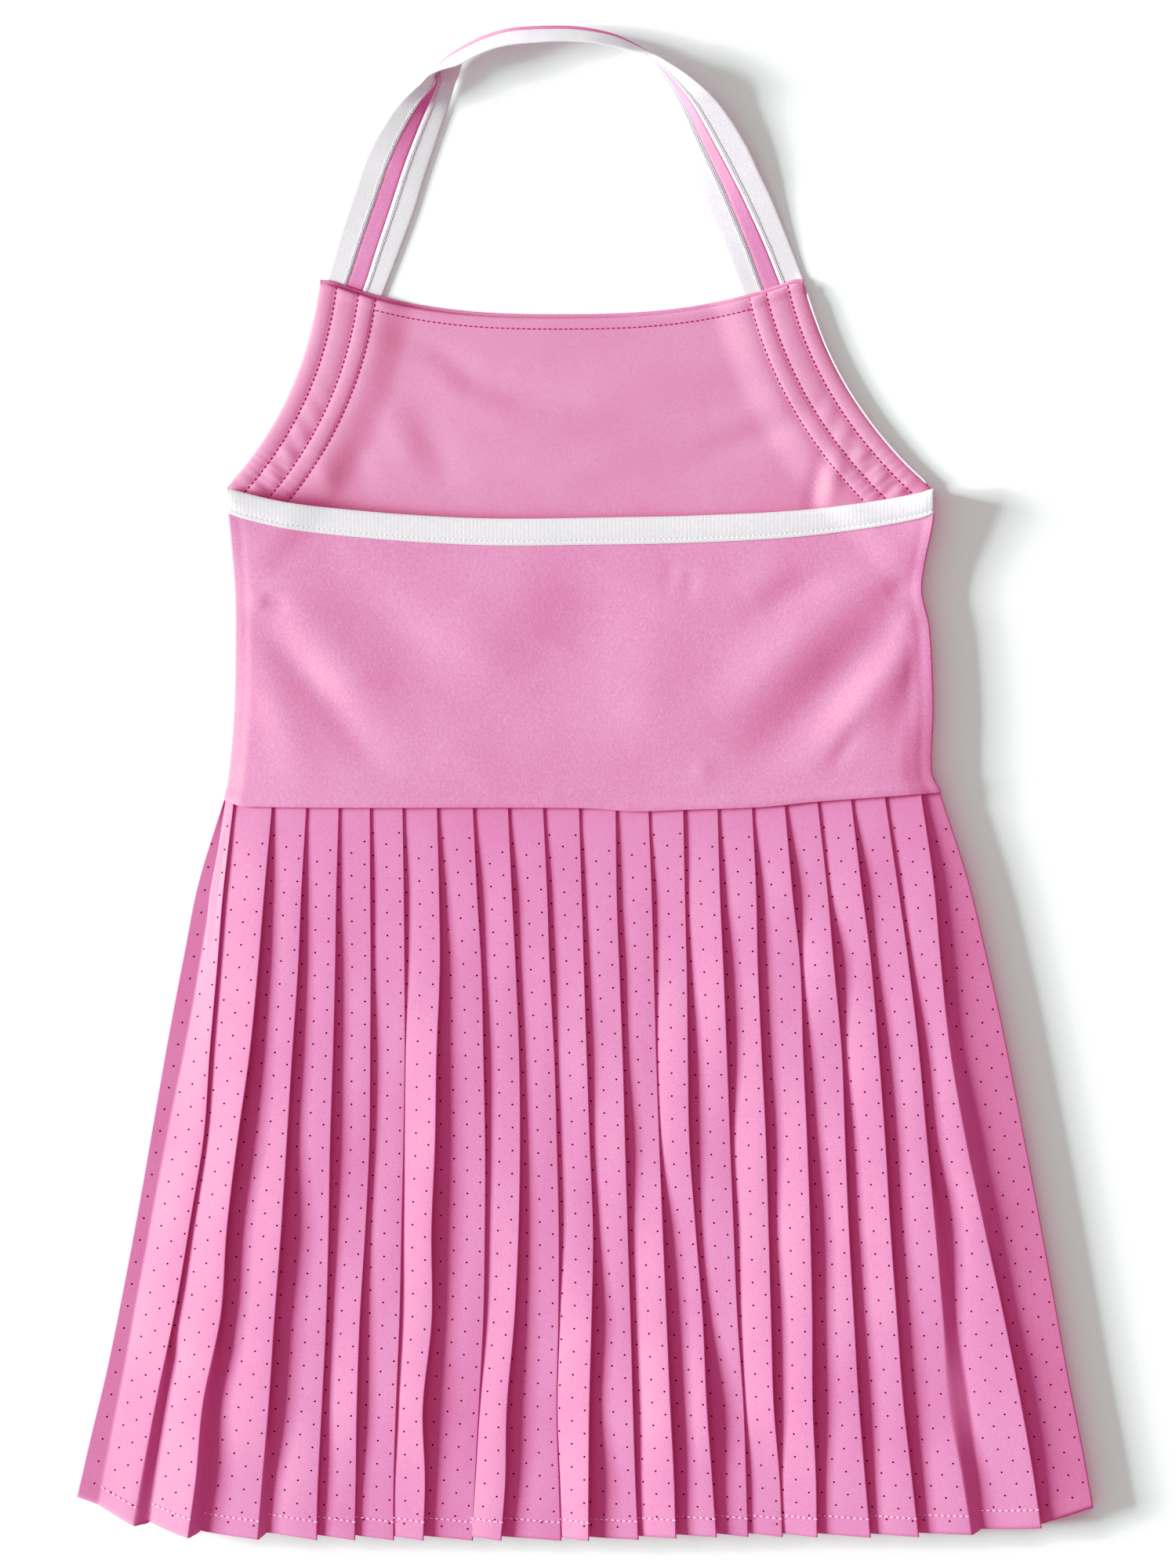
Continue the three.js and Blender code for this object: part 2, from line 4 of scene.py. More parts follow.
import bpy
import numpy as np
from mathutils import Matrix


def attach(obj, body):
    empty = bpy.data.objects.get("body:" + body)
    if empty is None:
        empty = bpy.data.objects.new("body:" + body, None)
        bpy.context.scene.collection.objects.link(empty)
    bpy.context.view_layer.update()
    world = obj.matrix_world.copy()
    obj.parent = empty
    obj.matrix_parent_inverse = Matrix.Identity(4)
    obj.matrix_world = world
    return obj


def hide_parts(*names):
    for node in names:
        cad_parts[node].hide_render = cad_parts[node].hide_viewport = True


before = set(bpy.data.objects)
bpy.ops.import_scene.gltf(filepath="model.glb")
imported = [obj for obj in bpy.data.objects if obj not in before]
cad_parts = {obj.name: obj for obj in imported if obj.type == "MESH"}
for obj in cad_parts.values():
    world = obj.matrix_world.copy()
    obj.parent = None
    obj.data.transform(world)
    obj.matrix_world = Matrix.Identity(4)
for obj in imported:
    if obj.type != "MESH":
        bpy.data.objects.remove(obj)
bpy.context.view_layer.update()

# The photographer's table. The camera looks straight down through a long lens, so the dress keeps its
# true outline. One wide soft box low on the left throws the shadows to the right, and the white room
# fills them in.
LENS_DISTANCE = 5.0
DRESS_LEVEL = 0.008
CAMERA_HEIGHT = LENS_DISTANCE + DRESS_LEVEL
TABLE_IN_PICTURE = 0.72
PICTURE_MIDDLE = (0.00144, -0.00036)
SENSOR = 36.0
ROOM_LIGHT = 0.42

camera_data = bpy.data.cameras.new("camera")
camera_data.lens = SENSOR * LENS_DISTANCE / TABLE_IN_PICTURE
camera_data.sensor_width = SENSOR
camera_data.clip_end = 60.0
camera = bpy.data.objects.new("camera", camera_data)
camera.location = (*PICTURE_MIDDLE, CAMERA_HEIGHT)
bpy.context.collection.objects.link(camera)
bpy.context.scene.camera = camera
view = bpy.context.scene.view_settings
view.view_transform = "Standard"
view.use_curve_mapping = True
TONE = (
    # a brightness in the scene and the brightness that the picture shows for it
    (0.05, 0.02),
    (0.09, 0.05),
    (0.13, 0.092),
    (0.19, 0.168),
    (0.254, 0.245),
    (0.33, 0.355),
    (0.42, 0.485),
    (0.5, 0.595),
    (0.6, 0.69),
    (0.75, 0.79),
    (0.86, 0.88),
    (0.93, 0.97),
)
DARK_REDS = ((0.1, 0.15), (0.15, 0.226), (0.21, 0.297), (0.3, 0.356), (0.4, 0.415), (0.5, 0.5))
DARK_GREENS = ((0.03, 0.025), (0.07, 0.057), (0.15, 0.13), (0.25, 0.238), (0.35, 0.345), (0.45, 0.45))
DARK_BLUES = ((0.07, 0.088), (0.14, 0.152), (0.3, 0.3))
RED, GREEN, BLUE, ALL_COLOURS = range(4)
CURVES = {ALL_COLOURS: TONE, RED: DARK_REDS, GREEN: DARK_GREENS, BLUE: DARK_BLUES}
for colour, places in CURVES.items():
    for seen, shown in places:
        view.curve_mapping.curves[colour].points.new(seen, shown)
view.curve_mapping.update()


def soft_box(name, bearing, height, distance, size, power):
    light_data = bpy.data.lights.new(name, "AREA")
    light_data.shape = "RECTANGLE"
    light_data.size, light_data.size_y = size
    light_data.energy = power
    light = bpy.data.objects.new(name, light_data)
    bearing, height = math.radians(bearing), math.radians(height)
    flat = distance * math.cos(height)
    light.location = (flat * math.cos(bearing), flat * math.sin(bearing), distance * math.sin(height))
    light.rotation_euler = (math.pi / 2 - height, 0, bearing + math.pi / 2)
    bpy.context.collection.objects.link(light)


soft_box("soft_box_left", bearing=177, height=18, distance=30.0, size=(11.0, 8.75), power=21000)

world = bpy.data.worlds.new("white_room")
world.use_nodes = True
room = world.node_tree.nodes["Background"]
room.inputs["Color"].default_value = (1, 1, 1, 1)
room.inputs["Strength"].default_value = ROOM_LIGHT
bpy.context.scene.world = world


def wire(tree, node, inputs):
    """Gives a node's inputs their values. Another node's output is linked instead."""
    for name, value in inputs.items():
        if isinstance(value, bpy.types.NodeSocket):
            tree.links.new(value, node.inputs[name])
        else:
            node.inputs[name].default_value = value


def new_material(name, looks):
    material = bpy.data.materials.new(name)
    material.use_nodes = True
    shader = material.node_tree.nodes["Principled BSDF"]
    wire(material.node_tree, shader, looks)
    return material, material.node_tree, shader


HALF_TABLE, TABLE_Z = 4.0, -0.0003
table_mesh = bpy.data.meshes.new("table_top")
corners = [(-1, -1), (1, -1), (1, 1), (-1, 1)]
table_mesh.from_pydata([(HALF_TABLE * x, HALF_TABLE * y, TABLE_Z) for x, y in corners], [], [(0, 1, 2, 3)])
table = bpy.data.objects.new("table_top", table_mesh)
bpy.context.collection.objects.link(table)
white = {"Base Color": (0.965, 0.985, 0.975, 1), "Roughness": 0.9, "Specular IOR Level": 0.0}
table_mesh.materials.append(new_material("white_paper", white)[0])

# The front of the bodice: pink jersey outside and a finely ribbed lining inside, turned out along the
# neckline and stitched. Above the low back only the lining shows. Three rows of stitches follow each
# armhole, because the striped band is sewn on behind them.
MM = 0.001
CLOTH = 0.5
NECK_LEFT, NECK_RIGHT = np.array([-121.7, 231.1]), np.array([100.3, 231.5])
NECK_SAG = 17.5
CORNER_DIP, CORNER_SHARE = 1.3, 0.013
ARMHOLES = {
    "left": (NECK_LEFT, np.array([-128.5, 174.4]), np.array([-164.9, 135.7])),
    "right": (NECK_RIGHT, np.array([112.5, 176.2]), np.array([159.8, 134.5])),
}
ARMHOLE_ROWS = (7.4, 17.6, 25.4)
NECK_FACING = 5.0
SHELL_HEIGHT, OVER_BANDS = 0.35, 1.4
LINING_OVER_SHELL = 1.45
LINING_TOP_SEAM_Y = 135.0
SIDE_INSET = 1.5
SIDE_Y = [-4, 5, 36, 72, 87.5, 99.5, 121, 135.7]
SIDE_X = {
    "left": [-165.6, -163.4, -160.6, -160, -160.2, -161, -163, -164.9],
    "right": [163.3, 159, 159.6, 157.8, 154.4, 155.4, 159.6, 159.8],
}
WAIST_X = [-166.3, -156, 0, 22, 47, 81, 105, 141, 163.3]
WAIST_Y = [-7.6, -10.8, -11.5, -13, -12.2, -11, -8.6, -6, -4.3]


def ease(value):
    value = np.clip(value, 0, 1)
    return value * value * (3 - 2 * value)


def mix(a, b, share):
    return a + (b - a) * share


def smooth(keys, values, at):
    keys, values = np.asarray(keys, float), np.asarray(values, float)
    at = np.clip(at, keys[0], keys[-1])
    slopes = np.empty_like(values)
    slopes[1:-1] = (values[2:] - values[:-2]) / (keys[2:] - keys[:-2])
    slopes[0] = (values[1] - values[0]) / (keys[1] - keys[0])
    slopes[-1] = (values[-1] - values[-2]) / (keys[-1] - keys[-2])
    i = np.clip(np.searchsorted(keys, at) - 1, 0, len(keys) - 2)
    span = keys[i + 1] - keys[i]
    t = (at - keys[i]) / span
    bend = span * t * (1 - t) * ((1 - t) * slopes[i] - t * slopes[i + 1])
    return mix(values[i], values[i + 1], t * t * (3 - 2 * t)) + bend


def linear_colour(red, green, blue):
    return tuple(((c / 255 + 0.055) / 1.055) ** 2.4 for c in (red, green, blue)) + (1.0,)


def normals_of(grid):
    across = np.gradient(grid, axis=1)
    down = np.gradient(grid, axis=0)
    normal = np.cross(across, -down)
    return normal / np.maximum(np.linalg.norm(normal, axis=2, keepdims=True), 1e-9)


def new_piece(name, points, faces, material, uv=None, flat_faces=None):
    mesh = bpy.data.meshes.new(name)
    mesh.from_pydata((np.asarray(points) * MM).tolist(), [], faces)
    smooth_shaded = np.ones(len(mesh.polygons), bool)
    if flat_faces is not None:
        smooth_shaded[flat_faces] = False
    mesh.polygons.foreach_set("use_smooth", smooth_shaded)
    if uv is not None:
        layer = mesh.uv_layers.new(name="cloth")
        corners = np.empty(len(mesh.loops), int)
        mesh.loops.foreach_get("vertex_index", corners)
        layer.data.foreach_set("uv", np.asarray(uv)[corners].ravel())
    mesh.materials.append(material)
    piece = bpy.data.objects.new(name, mesh)
    bpy.context.collection.objects.link(piece)
    return piece


def cloth_piece(name, grid, material, thickness=CLOTH):
    rows, columns, _ = grid.shape
    normal = normals_of(grid)
    half = np.broadcast_to(np.asarray(thickness, float) / 2, (rows, columns))[..., None]
    points = np.concatenate([(grid + normal * half).reshape(-1, 3), (grid - normal * half).reshape(-1, 3)])
    number = np.arange(rows * columns).reshape(rows, columns)
    a, b, c, d = number[:-1, :-1], number[1:, :-1], number[1:, 1:], number[:-1, 1:]
    top = np.stack([a, b, c, d], -1).reshape(-1, 4)
    under = top[:, ::-1] + rows * columns
    n = rows * columns

    def rim(first, second):
        return np.stack([first, second, second + n, first + n], -1)

    edges = np.concatenate(
        [
            rim(number[0, :-1], number[0, 1:]),
            rim(number[-1, 1:], number[-1, :-1]),
            rim(number[1:, 0], number[:-1, 0]),
            rim(number[:-1, -1], number[1:, -1]),
        ]
    )
    faces = np.concatenate([top, under, edges])
    run = np.cumsum(np.linalg.norm(np.diff(grid, axis=1, prepend=grid[:, :1]), axis=2), axis=1)
    fall = np.cumsum(np.linalg.norm(np.diff(grid, axis=0, prepend=grid[:1]), axis=2), axis=0)
    uv = np.stack([run, fall], -1).reshape(-1, 2) * MM
    rim_faces = np.arange(len(top) * 2, len(faces))
    return new_piece(name, points, faces.tolist(), material, np.concatenate([uv, uv]), rim_faces)


def add_node(tree, kind, inputs=(), **settings):
    node = tree.nodes.new(kind)
    for setting, value in settings.items():
        setattr(node, setting, value)
    wire(tree, node, dict(inputs))
    return node


def ramp(tree, source, first, second):
    """Turns a value into a colour, between two places that each have one."""
    node = add_node(tree, "ShaderNodeValToRGB", {"Fac": source})
    for element, (position, colour) in zip(node.color_ramp.elements, (first, second)):
        element.position, element.color = position, colour
    return node.outputs["Color"]


def cloth_material(name, colour, shade, grain, rib=None, specks=0.0, relief=0.35):
    """Cloth in two close shades with a fine yarn relief, and with ribs or pale specks if asked."""
    material, tree, shader = new_material(name, {"Roughness": 0.86, "Specular IOR Level": 0.05})
    place = add_node(tree, "ShaderNodeTexCoord").outputs["Object"]

    def noise(scale, detail, roughness):
        inputs = {"Vector": place, "Scale": scale, "Detail": detail, "Roughness": roughness}
        return add_node(tree, "ShaderNodeTexNoise", inputs).outputs["Fac"]

    def mixed(share, first, second, **settings):
        inputs = {"Factor": share, "A": first, "B": second}
        return add_node(tree, "ShaderNodeMix", inputs, data_type="RGBA", **settings).outputs["Result"]

    cloudy = ramp(tree, noise(26, 3, 0.55), (0.3, shade), (0.7, colour))
    yarn = noise(grain, 4, 0.7)
    yarn_shade = ramp(tree, yarn, (0.25, (0.9, 0.86, 0.88, 1)), (0.75, (1.06, 1.08, 1.07, 1)))
    dyed = mixed(1.0, cloudy, yarn_shade, blend_type="MULTIPLY")
    if specks:
        pills = add_node(tree, "ShaderNodeTexVoronoi", {"Vector": place, "Scale": 620}).outputs["Distance"]
        near = ramp(tree, pills, (0.1, (specks, specks, specks, 1)), (0.3, (0, 0, 0, 1)))
        dyed = mixed(near, dyed, (0.95, 0.72, 0.85, 1))
    height = yarn
    if rib:
        direction, spacing, share = rib
        lines = {"Vector": place, "Scale": spacing, "Distortion": 0.6, "Detail": 1}
        wave = add_node(tree, "ShaderNodeTexWave", lines, bands_direction=direction).outputs["Fac"]
        total = add_node(tree, "ShaderNodeMath", {0: wave, 1: share, 2: yarn}, operation="MULTIPLY_ADD")
        height = total.outputs["Value"]
    bump = add_node(tree, "ShaderNodeBump", {"Strength": relief, "Distance": 0.00025, "Height": height})
    wire(tree, shader, {"Base Color": dyed, "Normal": bump.outputs["Normal"]})
    return material


def declare(piece, slot, *nodes):
    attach(piece, "root")
    if nodes:
        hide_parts(*nodes)


def armhole(side, t):
    neck, pull, corner = ARMHOLES[side]
    t = np.asarray(t, float)[..., None]
    place = (1 - t) ** 2 * neck + 2 * t * (1 - t) * pull + t * t * corner
    along = 2 * (1 - t) * (pull - neck) + 2 * t * (corner - pull)
    along = along / np.linalg.norm(along, axis=-1, keepdims=True)
    turn = np.array([-1, 1]) if side == "left" else np.array([1, -1])
    return place, along[..., ::-1] * turn


def off_armhole(x, y):
    least = np.full(np.shape(x), 1e9)
    for side in ("left", "right"):
        for place in armhole(side, np.linspace(-0.1, 1.25, 60))[0]:
            least = np.minimum(least, np.hypot(x - place[0], y - place[1]))
    return least


def neck_y(x):
    across = np.clip((x - NECK_LEFT[0]) / (NECK_RIGHT[0] - NECK_LEFT[0]), 0, 1)
    sag = NECK_SAG * (1 - np.abs(2 * across - 1) ** 2.6)
    corners = sum(np.exp(-((off / CORNER_SHARE) ** 2)) for off in (across, 1 - across))
    return mix(NECK_LEFT[1], NECK_RIGHT[1], across) - sag - CORNER_DIP * corners


def waist_y(x):
    return smooth(WAIST_X, WAIST_Y, x)


def creases(table, x, y):
    """Soft ridges and furrows along bent lines: how high, how wide, and the line's points."""
    height = np.zeros(np.shape(x))
    for rise, reach, *line in table:
        legs = [math.dist(a, b) for a, b in zip(line, line[1:])]
        nearest, along, run = np.full(np.shape(x), 1e9), 0 * height, 0.0
        for (x1, y1), (x2, y2), leg in zip(line, line[1:], legs):
            t = np.clip(((x - x1) * (x2 - x1) + (y - y1) * (y2 - y1)) / leg**2, 0, 1)
            away = np.hypot(x - mix(x1, x2, t), y - mix(y1, y2, t))
            along = np.where(away < nearest, (run + t * leg) / sum(legs), along)
            nearest = np.minimum(away, nearest)
            run += leg
        height += rise * np.sin(math.pi * mix(0.1, 0.9, along)) * np.exp(-((nearest / reach) ** 2))
    return height


def shell_z(x, y):
    """The outer cloth's height: it lies on the strap's bands near an armhole, and else on the table."""
    return SHELL_HEIGHT + OVER_BANDS * (1 - ease((off_armhole(x, y) - 29) / 16))


FRONT_T = np.concatenate([np.linspace(0, 1, 96), np.linspace(1.04, 2, 26)])
STITCHED = 27.0
BESIDE = np.concatenate([[0, 0.3, 0.8], np.linspace(1.6, STITCHED, 34)])
BETWEEN = np.linspace(0, 1, 92)[1:-1]


def front_plan(above, low):
    """Plan places of the front's grid, with each point's distance in from the nearer armhole."""
    upper = np.minimum(FRONT_T, 1)
    left, left_in = armhole("left", upper)
    right, right_in = armhole("right", upper)
    beside_left = left[:, None] + left_in[:, None] * BESIDE[:, None]
    beside_right = right[:, None] + right_in[:, None] * BESIDE[::-1, None]
    middle = mix(beside_left[:, -1:], beside_right[:, :1], BETWEEN[:, None])
    plan = np.concatenate([beside_left, middle, beside_right], axis=1)
    to_neckline = neck_y(plan[0, :, 0]) + above - plan[0, :, 1]
    plan[..., 1] += (1 - upper[:, None]) ** 2 * to_neckline
    lower = np.clip(FRONT_T - 1, 0, 1)[:, None]
    x, y = plan[..., 0], plan[..., 1]
    across = np.linspace(0, 1, plan.shape[1])
    x_now = (x - x[:, :1]) / (x[:, -1:] - x[:, :1])
    seam_y = mix(LINING_TOP_SEAM_Y, SIDE_Y[0] + low, lower)
    left_seam, right_seam = (smooth(SIDE_Y, SIDE_X[side], seam_y) for side in ("left", "right"))
    inset = SIDE_INSET * ease(lower * 4)
    x_low = mix(left_seam + inset, right_seam - inset, mix(x_now, across, ease(lower)))
    plan[..., 0] = np.where(lower > 0, x_low, x)
    plan[..., 1] = np.where(lower > 0, mix(y, waist_y(x_low) + low, lower), y)
    inward = np.concatenate([BESIDE, np.full(len(BETWEEN), 99.0), BESIDE[::-1]])
    return plan, np.broadcast_to(inward, x.shape)


LINING_CREASES = [
    (-0.9, 7, (-96, 213), (-84, 206), (-69.5, 200), (-51, 185), (-32, 179), (-8, 176)),
    (0.7, 9, (-70, 196), (-56, 178), (-34, 168), (0, 165)),
    (-0.6, 7, (-108, 158), (-104, 146), (-100, 134)),
    (0.6, 5, (-122, 150), (-119, 141), (-116, 130)),
    (-0.9, 7, (52, 151), (68, 156), (85, 161), (98, 166)),
    (0.6, 8, (58, 164), (78, 170), (98, 178)),
    (-1.1, 3.6, (104.5, 124), (106.5, 138), (109, 150)),
    (0.9, 3.6, (111, 126), (113.5, 138), (117, 150)),
    (0.5, 12, (10, 186), (50, 184), (84, 190)),
    (-0.5, 11, (-20, 196), (20, 200), (70, 206)),
    (0.8, 8, (-92, 176), (-84, 160), (-78, 146)),
    (-0.5, 8, (-76, 168), (-66, 150), (-60, 136)),
    (0.5, 9, (-40, 148), (-10, 142), (24, 150)),
]


def stitched_relief(inward, top_distance, t):
    """How the lining swells between the rows of stitches, and puckers where they pull it in."""
    bounds = (0,) + ARMHOLE_ROWS
    relief = 0.16 * ease((inward - ARMHOLE_ROWS[-1]) / 2.5)
    for near, far in zip(bounds[:-1], bounds[1:]):
        place = np.clip((inward - near) / (far - near), 0, 1)
        relief = relief + 0.55 * np.sin(math.pi * place) ** 0.55 * ((inward > near) & (inward < far))
    facing = np.clip(top_distance / NECK_FACING, 0, 1)
    relief = relief + 0.35 * np.sin(math.pi * facing) ** 0.6
    over_rows = np.sin(math.pi * np.clip(inward / STITCHED, 0, 1)) ** 0.5
    pucker = ease((t - 0.55) / 0.4) * (inward < STITCHED) * over_rows
    ripple = np.sin(t * 150 + 2.2 * np.sin(t * 23) + inward * 0.12)
    first_row, second_row, _ = ARMHOLE_ROWS
    between_rows = np.clip((inward - first_row) / (second_row - first_row), 0, 1)
    slow = np.sin(t * 61 + 1.3) * np.sin(math.pi * between_rows) * ease((t - 0.25) / 0.5)
    return relief + 0.17 * pucker * ripple + 0.32 * slow


lining_plan, lining_in = front_plan(0.0, 7.0)
lx, ly = lining_plan[..., 0], lining_plan[..., 1]
lining_t = np.broadcast_to(np.minimum(FRONT_T, 1)[:, None], lx.shape)
lining_z = shell_z(lx, ly) + LINING_OVER_SHELL
lining_z += 0.85 * creases(LINING_CREASES, lx, ly) * ease(lining_in / 12)
lining_z += stitched_relief(lining_in, neck_y(lx) - ly, lining_t)
lining_z += 1.6 * np.exp(-(((lx + 10) / 75) ** 2) - ((ly - 176) / 26) ** 2)
lining_grid = np.dstack([lx, ly, lining_z])

lining_material = cloth_material(
    "ribbed_pink_lining", linear_colour(217, 149, 174), linear_colour(213, 143, 169), 1100, rib=("X", 1500, 0.2), relief=0.14
)
front_lining = cloth_piece("front_lining_cloth", lining_grid, lining_material)
declare(front_lining, "lining_knit", "front_lining")

FRONT_CREASES = [
    (0.5, 14, (-120, 90), (-40, 20)),
    (0.6, 14, (120, 96), (30, 10)),
    (0.5, 16, (-30, 190), (40, 180)),
    (0.4, 20, (-60, 60), (60, 70)),
]
shell_plan, _ = front_plan(1.9, 0.0)
sx, sy = shell_plan[..., 0], shell_plan[..., 1]
shell_grid = np.dstack([sx, sy, shell_z(sx, sy) + creases(FRONT_CREASES, sx, sy) * ease((sy - 5) / 20)])
jersey = cloth_material(
    "matt_pink_jersey", linear_colour(218, 147, 176), linear_colour(213, 140, 170), 800, specks=0.12, relief=0.35
)
front_shell = cloth_piece("front_shell_cloth", shell_grid, jersey)
declare(front_shell, "bodice_knit", "front_shell")

# The low back: one piece of matt pink jersey. It bows up from its side seams, with soft diagonal
# creases where it was smoothed by hand, and its lower edge is turned over the top of the skirt.
BACK_RISE, BACK_OVER_SHELL = 6.4, 2.2
CHEST_WIDTH = 325
LEFT_ROLL, RIGHT_ROLL = 66.0, 34.0
BACK_EDGE_X = [-164.9, -158.8, -137.9, -113, -75.8, -38.6, 19.4, 51, 96.8, 131.3, 154.3, 159.8]
BACK_EDGE_Y = [135.2, 133, 128.2, 125.1, 122, 120.5, 121.2, 121.9, 124.2, 128.2, 132.4, 134.5]
LEVELS = (0, 0.12, 0.22, 0.34, 0.46, 0.58, 0.70, 0.82, 0.92, 1)
SIDE_SEAMS = (
    # the skirt's two sides at each level from the waist to the hem
    (-165.6, -177.4, -183.8, -191.1, -197.8, -204.5, -211.7, -219.5, -227.2, -233.0),
    (162.6, 175.5, 183.6, 192.3, 200.0, 207.6, 214.8, 221.9, 228.4, 233.1),
)
SKIRT_MIDDLE = 10.2
LEFT_EDGE, RIGHT_EDGE = 7.6, 9.2
LEFT_CORNER, RIGHT_CORNER = 12.0, 14.0
PLEAT_AT_WAIST = 1.35


def roll_up(inset, width):
    return 1 - (1 - np.clip(inset / width, 0, 1)) ** 2.0


def rolled(middle, left_edge, right_edge, from_left, from_right):
    """A height that falls from the middle's to each edge's, over the width of that side's roll."""
    left_drop = (middle - left_edge) * (1 - roll_up(from_left, LEFT_ROLL))
    return middle - left_drop - (middle - right_edge) * (1 - roll_up(from_right, RIGHT_ROLL))


def skirt_base(x, t):
    from_left, from_right = x - smooth(LEVELS, SIDE_SEAMS[0], t), smooth(LEVELS, SIDE_SEAMS[1], t) - x
    return rolled(SKIRT_MIDDLE, LEFT_EDGE, RIGHT_EDGE, from_left, from_right)


BACK_CREASES = [
    (1.1, 12, (-146.2, 92), (-83.2, 26)),
    (-1.2, 13, (-129, 110), (-48, 40)),
    (0.9, 9, (-150, 52), (-127, 4)),
    (-1.3, 8, (-148, 74), (-93, 6)),
    (0.8, 4, (-156, 84), (-146, 83)),
    (-0.7, 5, (-147, 86), (-136, 78)),
    (1.1, 24, (-40, 84), (-62, 40)),
    (-1.4, 20, (10, 98), (-8, 60)),
    (0.6, 18, (38, 74), (24, 26)),
    (1.8, 13, (137.2, 98), (60, 30)),
    (-2.2, 12, (148, 78), (72, 4)),
    (1.3, 8, (148.7, 64), (107, 10)),
    (-1.1, 6, (157, 70), (143, 18)),
    (0.7, 9, (97, 102), (70, 86)),
    (-0.9, 7, (112, 96), (80, 80)),
    (0.5, 4, (54.4, 10), (54, 0)),
    (-0.9, 4, (112, 6), (125, 24)),
    (-0.45, 4, (40, 102), (38, 88)),
    (-0.5, 4, (49, 100), (47, 84)),
    (0.45, 3, (-14.4, -3), (-13, -10)),
    (-1.2, 5, (155, 94), (138, 86)),
    (0.8, 5, (156, 80), (144, 70)),
    (0.5, 9, (-66, 20), (-40, 0)),
    (0.6, 16, (20, 40), (50, 10)),
]


def back_edge_y(x):
    return smooth(BACK_EDGE_X, BACK_EDGE_Y, x)


def back_surface(u, down):
    """The back panel, u from the left side seam to the right one, down from its edge to the waist."""
    x_top = mix(BACK_EDGE_X[0], BACK_EDGE_X[-1], u)
    end = waist_y(mix(SIDE_SEAMS[0][0], SIDE_SEAMS[1][0], u))
    y = mix(back_edge_y(x_top), end, down)
    seams = []
    for side, (_, _, corner) in ARMHOLES.items():
        seams.append(smooth(SIDE_Y, SIDE_X[side], mix(corner[1], SIDE_Y[0], down)))
    x = mix(*seams, u)
    inset = np.minimum(u, 1 - u) * CHEST_WIDTH
    left_edge = mix(LEFT_CORNER, LEFT_EDGE, ease((140 - y) / 50))
    right_edge = mix(RIGHT_CORNER, RIGHT_EDGE, ease((140 - y) / 62))
    middle = shell_z(x, y) + BACK_OVER_SHELL + BACK_RISE
    chest = rolled(middle, left_edge, right_edge, u * CHEST_WIDTH, (1 - u) * CHEST_WIDTH)
    waist = skirt_base(x, 0) + PLEAT_AT_WAIST * np.clip(np.minimum(u * 55, (1 - u) * 24), 0, 1) + 1.0
    free = roll_up(inset, 20) * np.sin(math.pi * np.clip(down, 0.04, 0.97)) ** 0.6
    z = mix(chest, waist, ease(down)) + 0.9 * creases(BACK_CREASES, x, y) * free
    z -= 0.15 * np.exp(-(((inset - 4.6) / 1.7) ** 2)) * ease(down / 0.12)
    return np.stack([x, y, z], -1)


def with_sides(grid, foot=1.2):
    """Adds the cloth that goes down from the outermost columns to the table, round a soft corner."""
    left, right = grid[:, :1], grid[:, -1:]
    drops = [(0.1, 0.12), (0.22, 0.5)]
    walls = []
    for column, out in ((left, -1), (right, 1)):
        steps = [column + np.array([out * side, 0, -down]) for side, down in drops]
        for share in (0.45, 1.0):
            low = column + np.array([out * 0.22, 0, 0])
            low[..., 2] = mix(column[..., 2] - 0.5, foot, share)
            steps.append(low)
        walls.append(steps[::-1] if out < 0 else steps)
    return np.concatenate([*walls[0], grid, *walls[1]], axis=1)


back_u = mix(np.linspace(0, 1, 176), 0.5 - 0.5 * np.cos(math.pi * np.linspace(0, 1, 176)), 0.35)
back_u = np.concatenate([[0, 0.0006, 0.002], back_u[1:-1], [0.998, 0.9994, 1]])
back_down = np.concatenate([np.linspace(0, 0.965, 92), [0.975, 0.984, 0.991, 0.996, 1.0]])
back_grid = back_surface(back_u[None, :], back_down[:, None])
turned = 0.45 * np.sqrt(np.clip((back_down - 0.962) / 0.02, 0, 1)) * (1 - ease((back_down - 0.985) / 0.015))
back_grid[..., 2] += turned[:, None]
back_panel = cloth_piece("back_panel_cloth", with_sides(back_grid), jersey, 0.7)
declare(back_panel, "bodice_knit", "back_panel")

# The white binding: a strip of ribbed knit folded over the back's top edge, 11 mm wide outside and
# narrower inside, and closed with one row of stitches near its lower edge.
BINDING_SECTION = [
    # how far below the back's edge, and how high over the panel
    (11.3, 0.35),
    (11.1, 0.75),
    (10.4, 1.0),
    (9.7, 0.86),
    (9.3, 0.72),
    (8.9, 0.86),
    (8.0, 1.15),
    (6.0, 1.35),
    (4.0, 1.4),
    (2.0, 1.3),
    (0.4, 1.05),
    (-0.5, 0.6),
    (-0.8, 0.0),
    (-0.5, -0.6),
    (0.6, -1.0),
    (3.0, -1.1),
    (7.0, -1.0),
]
binding_u = np.linspace(0, 1, 220)
down_per_mm = 1 / (back_edge_y(mix(BACK_EDGE_X[0], BACK_EDGE_X[-1], binding_u)) + 11)
binding_rows = []
for below, over in BINDING_SECTION[::-1]:
    place = back_surface(binding_u, np.clip(below, 0, None) * down_per_mm)
    place[:, 1] += max(-below, 0)
    place[:, 2] += over
    ends = 1.4 * (1 - ease(np.minimum(binding_u, 1 - binding_u) / 0.012))
    place[:, 0] += np.where(binding_u < 0.5, -ends, ends) * 0.4
    place[:, 2] -= ends * 0.35
    binding_rows.append(place)
white_knit = cloth_material(
    "white_ribbed_binding", linear_colour(229, 226, 230), linear_colour(224, 221, 226), 900, rib=("X", 700, 0.8)
)
back_binding = cloth_piece("back_binding_tape", np.array(binding_rows), white_knit, 0.45)
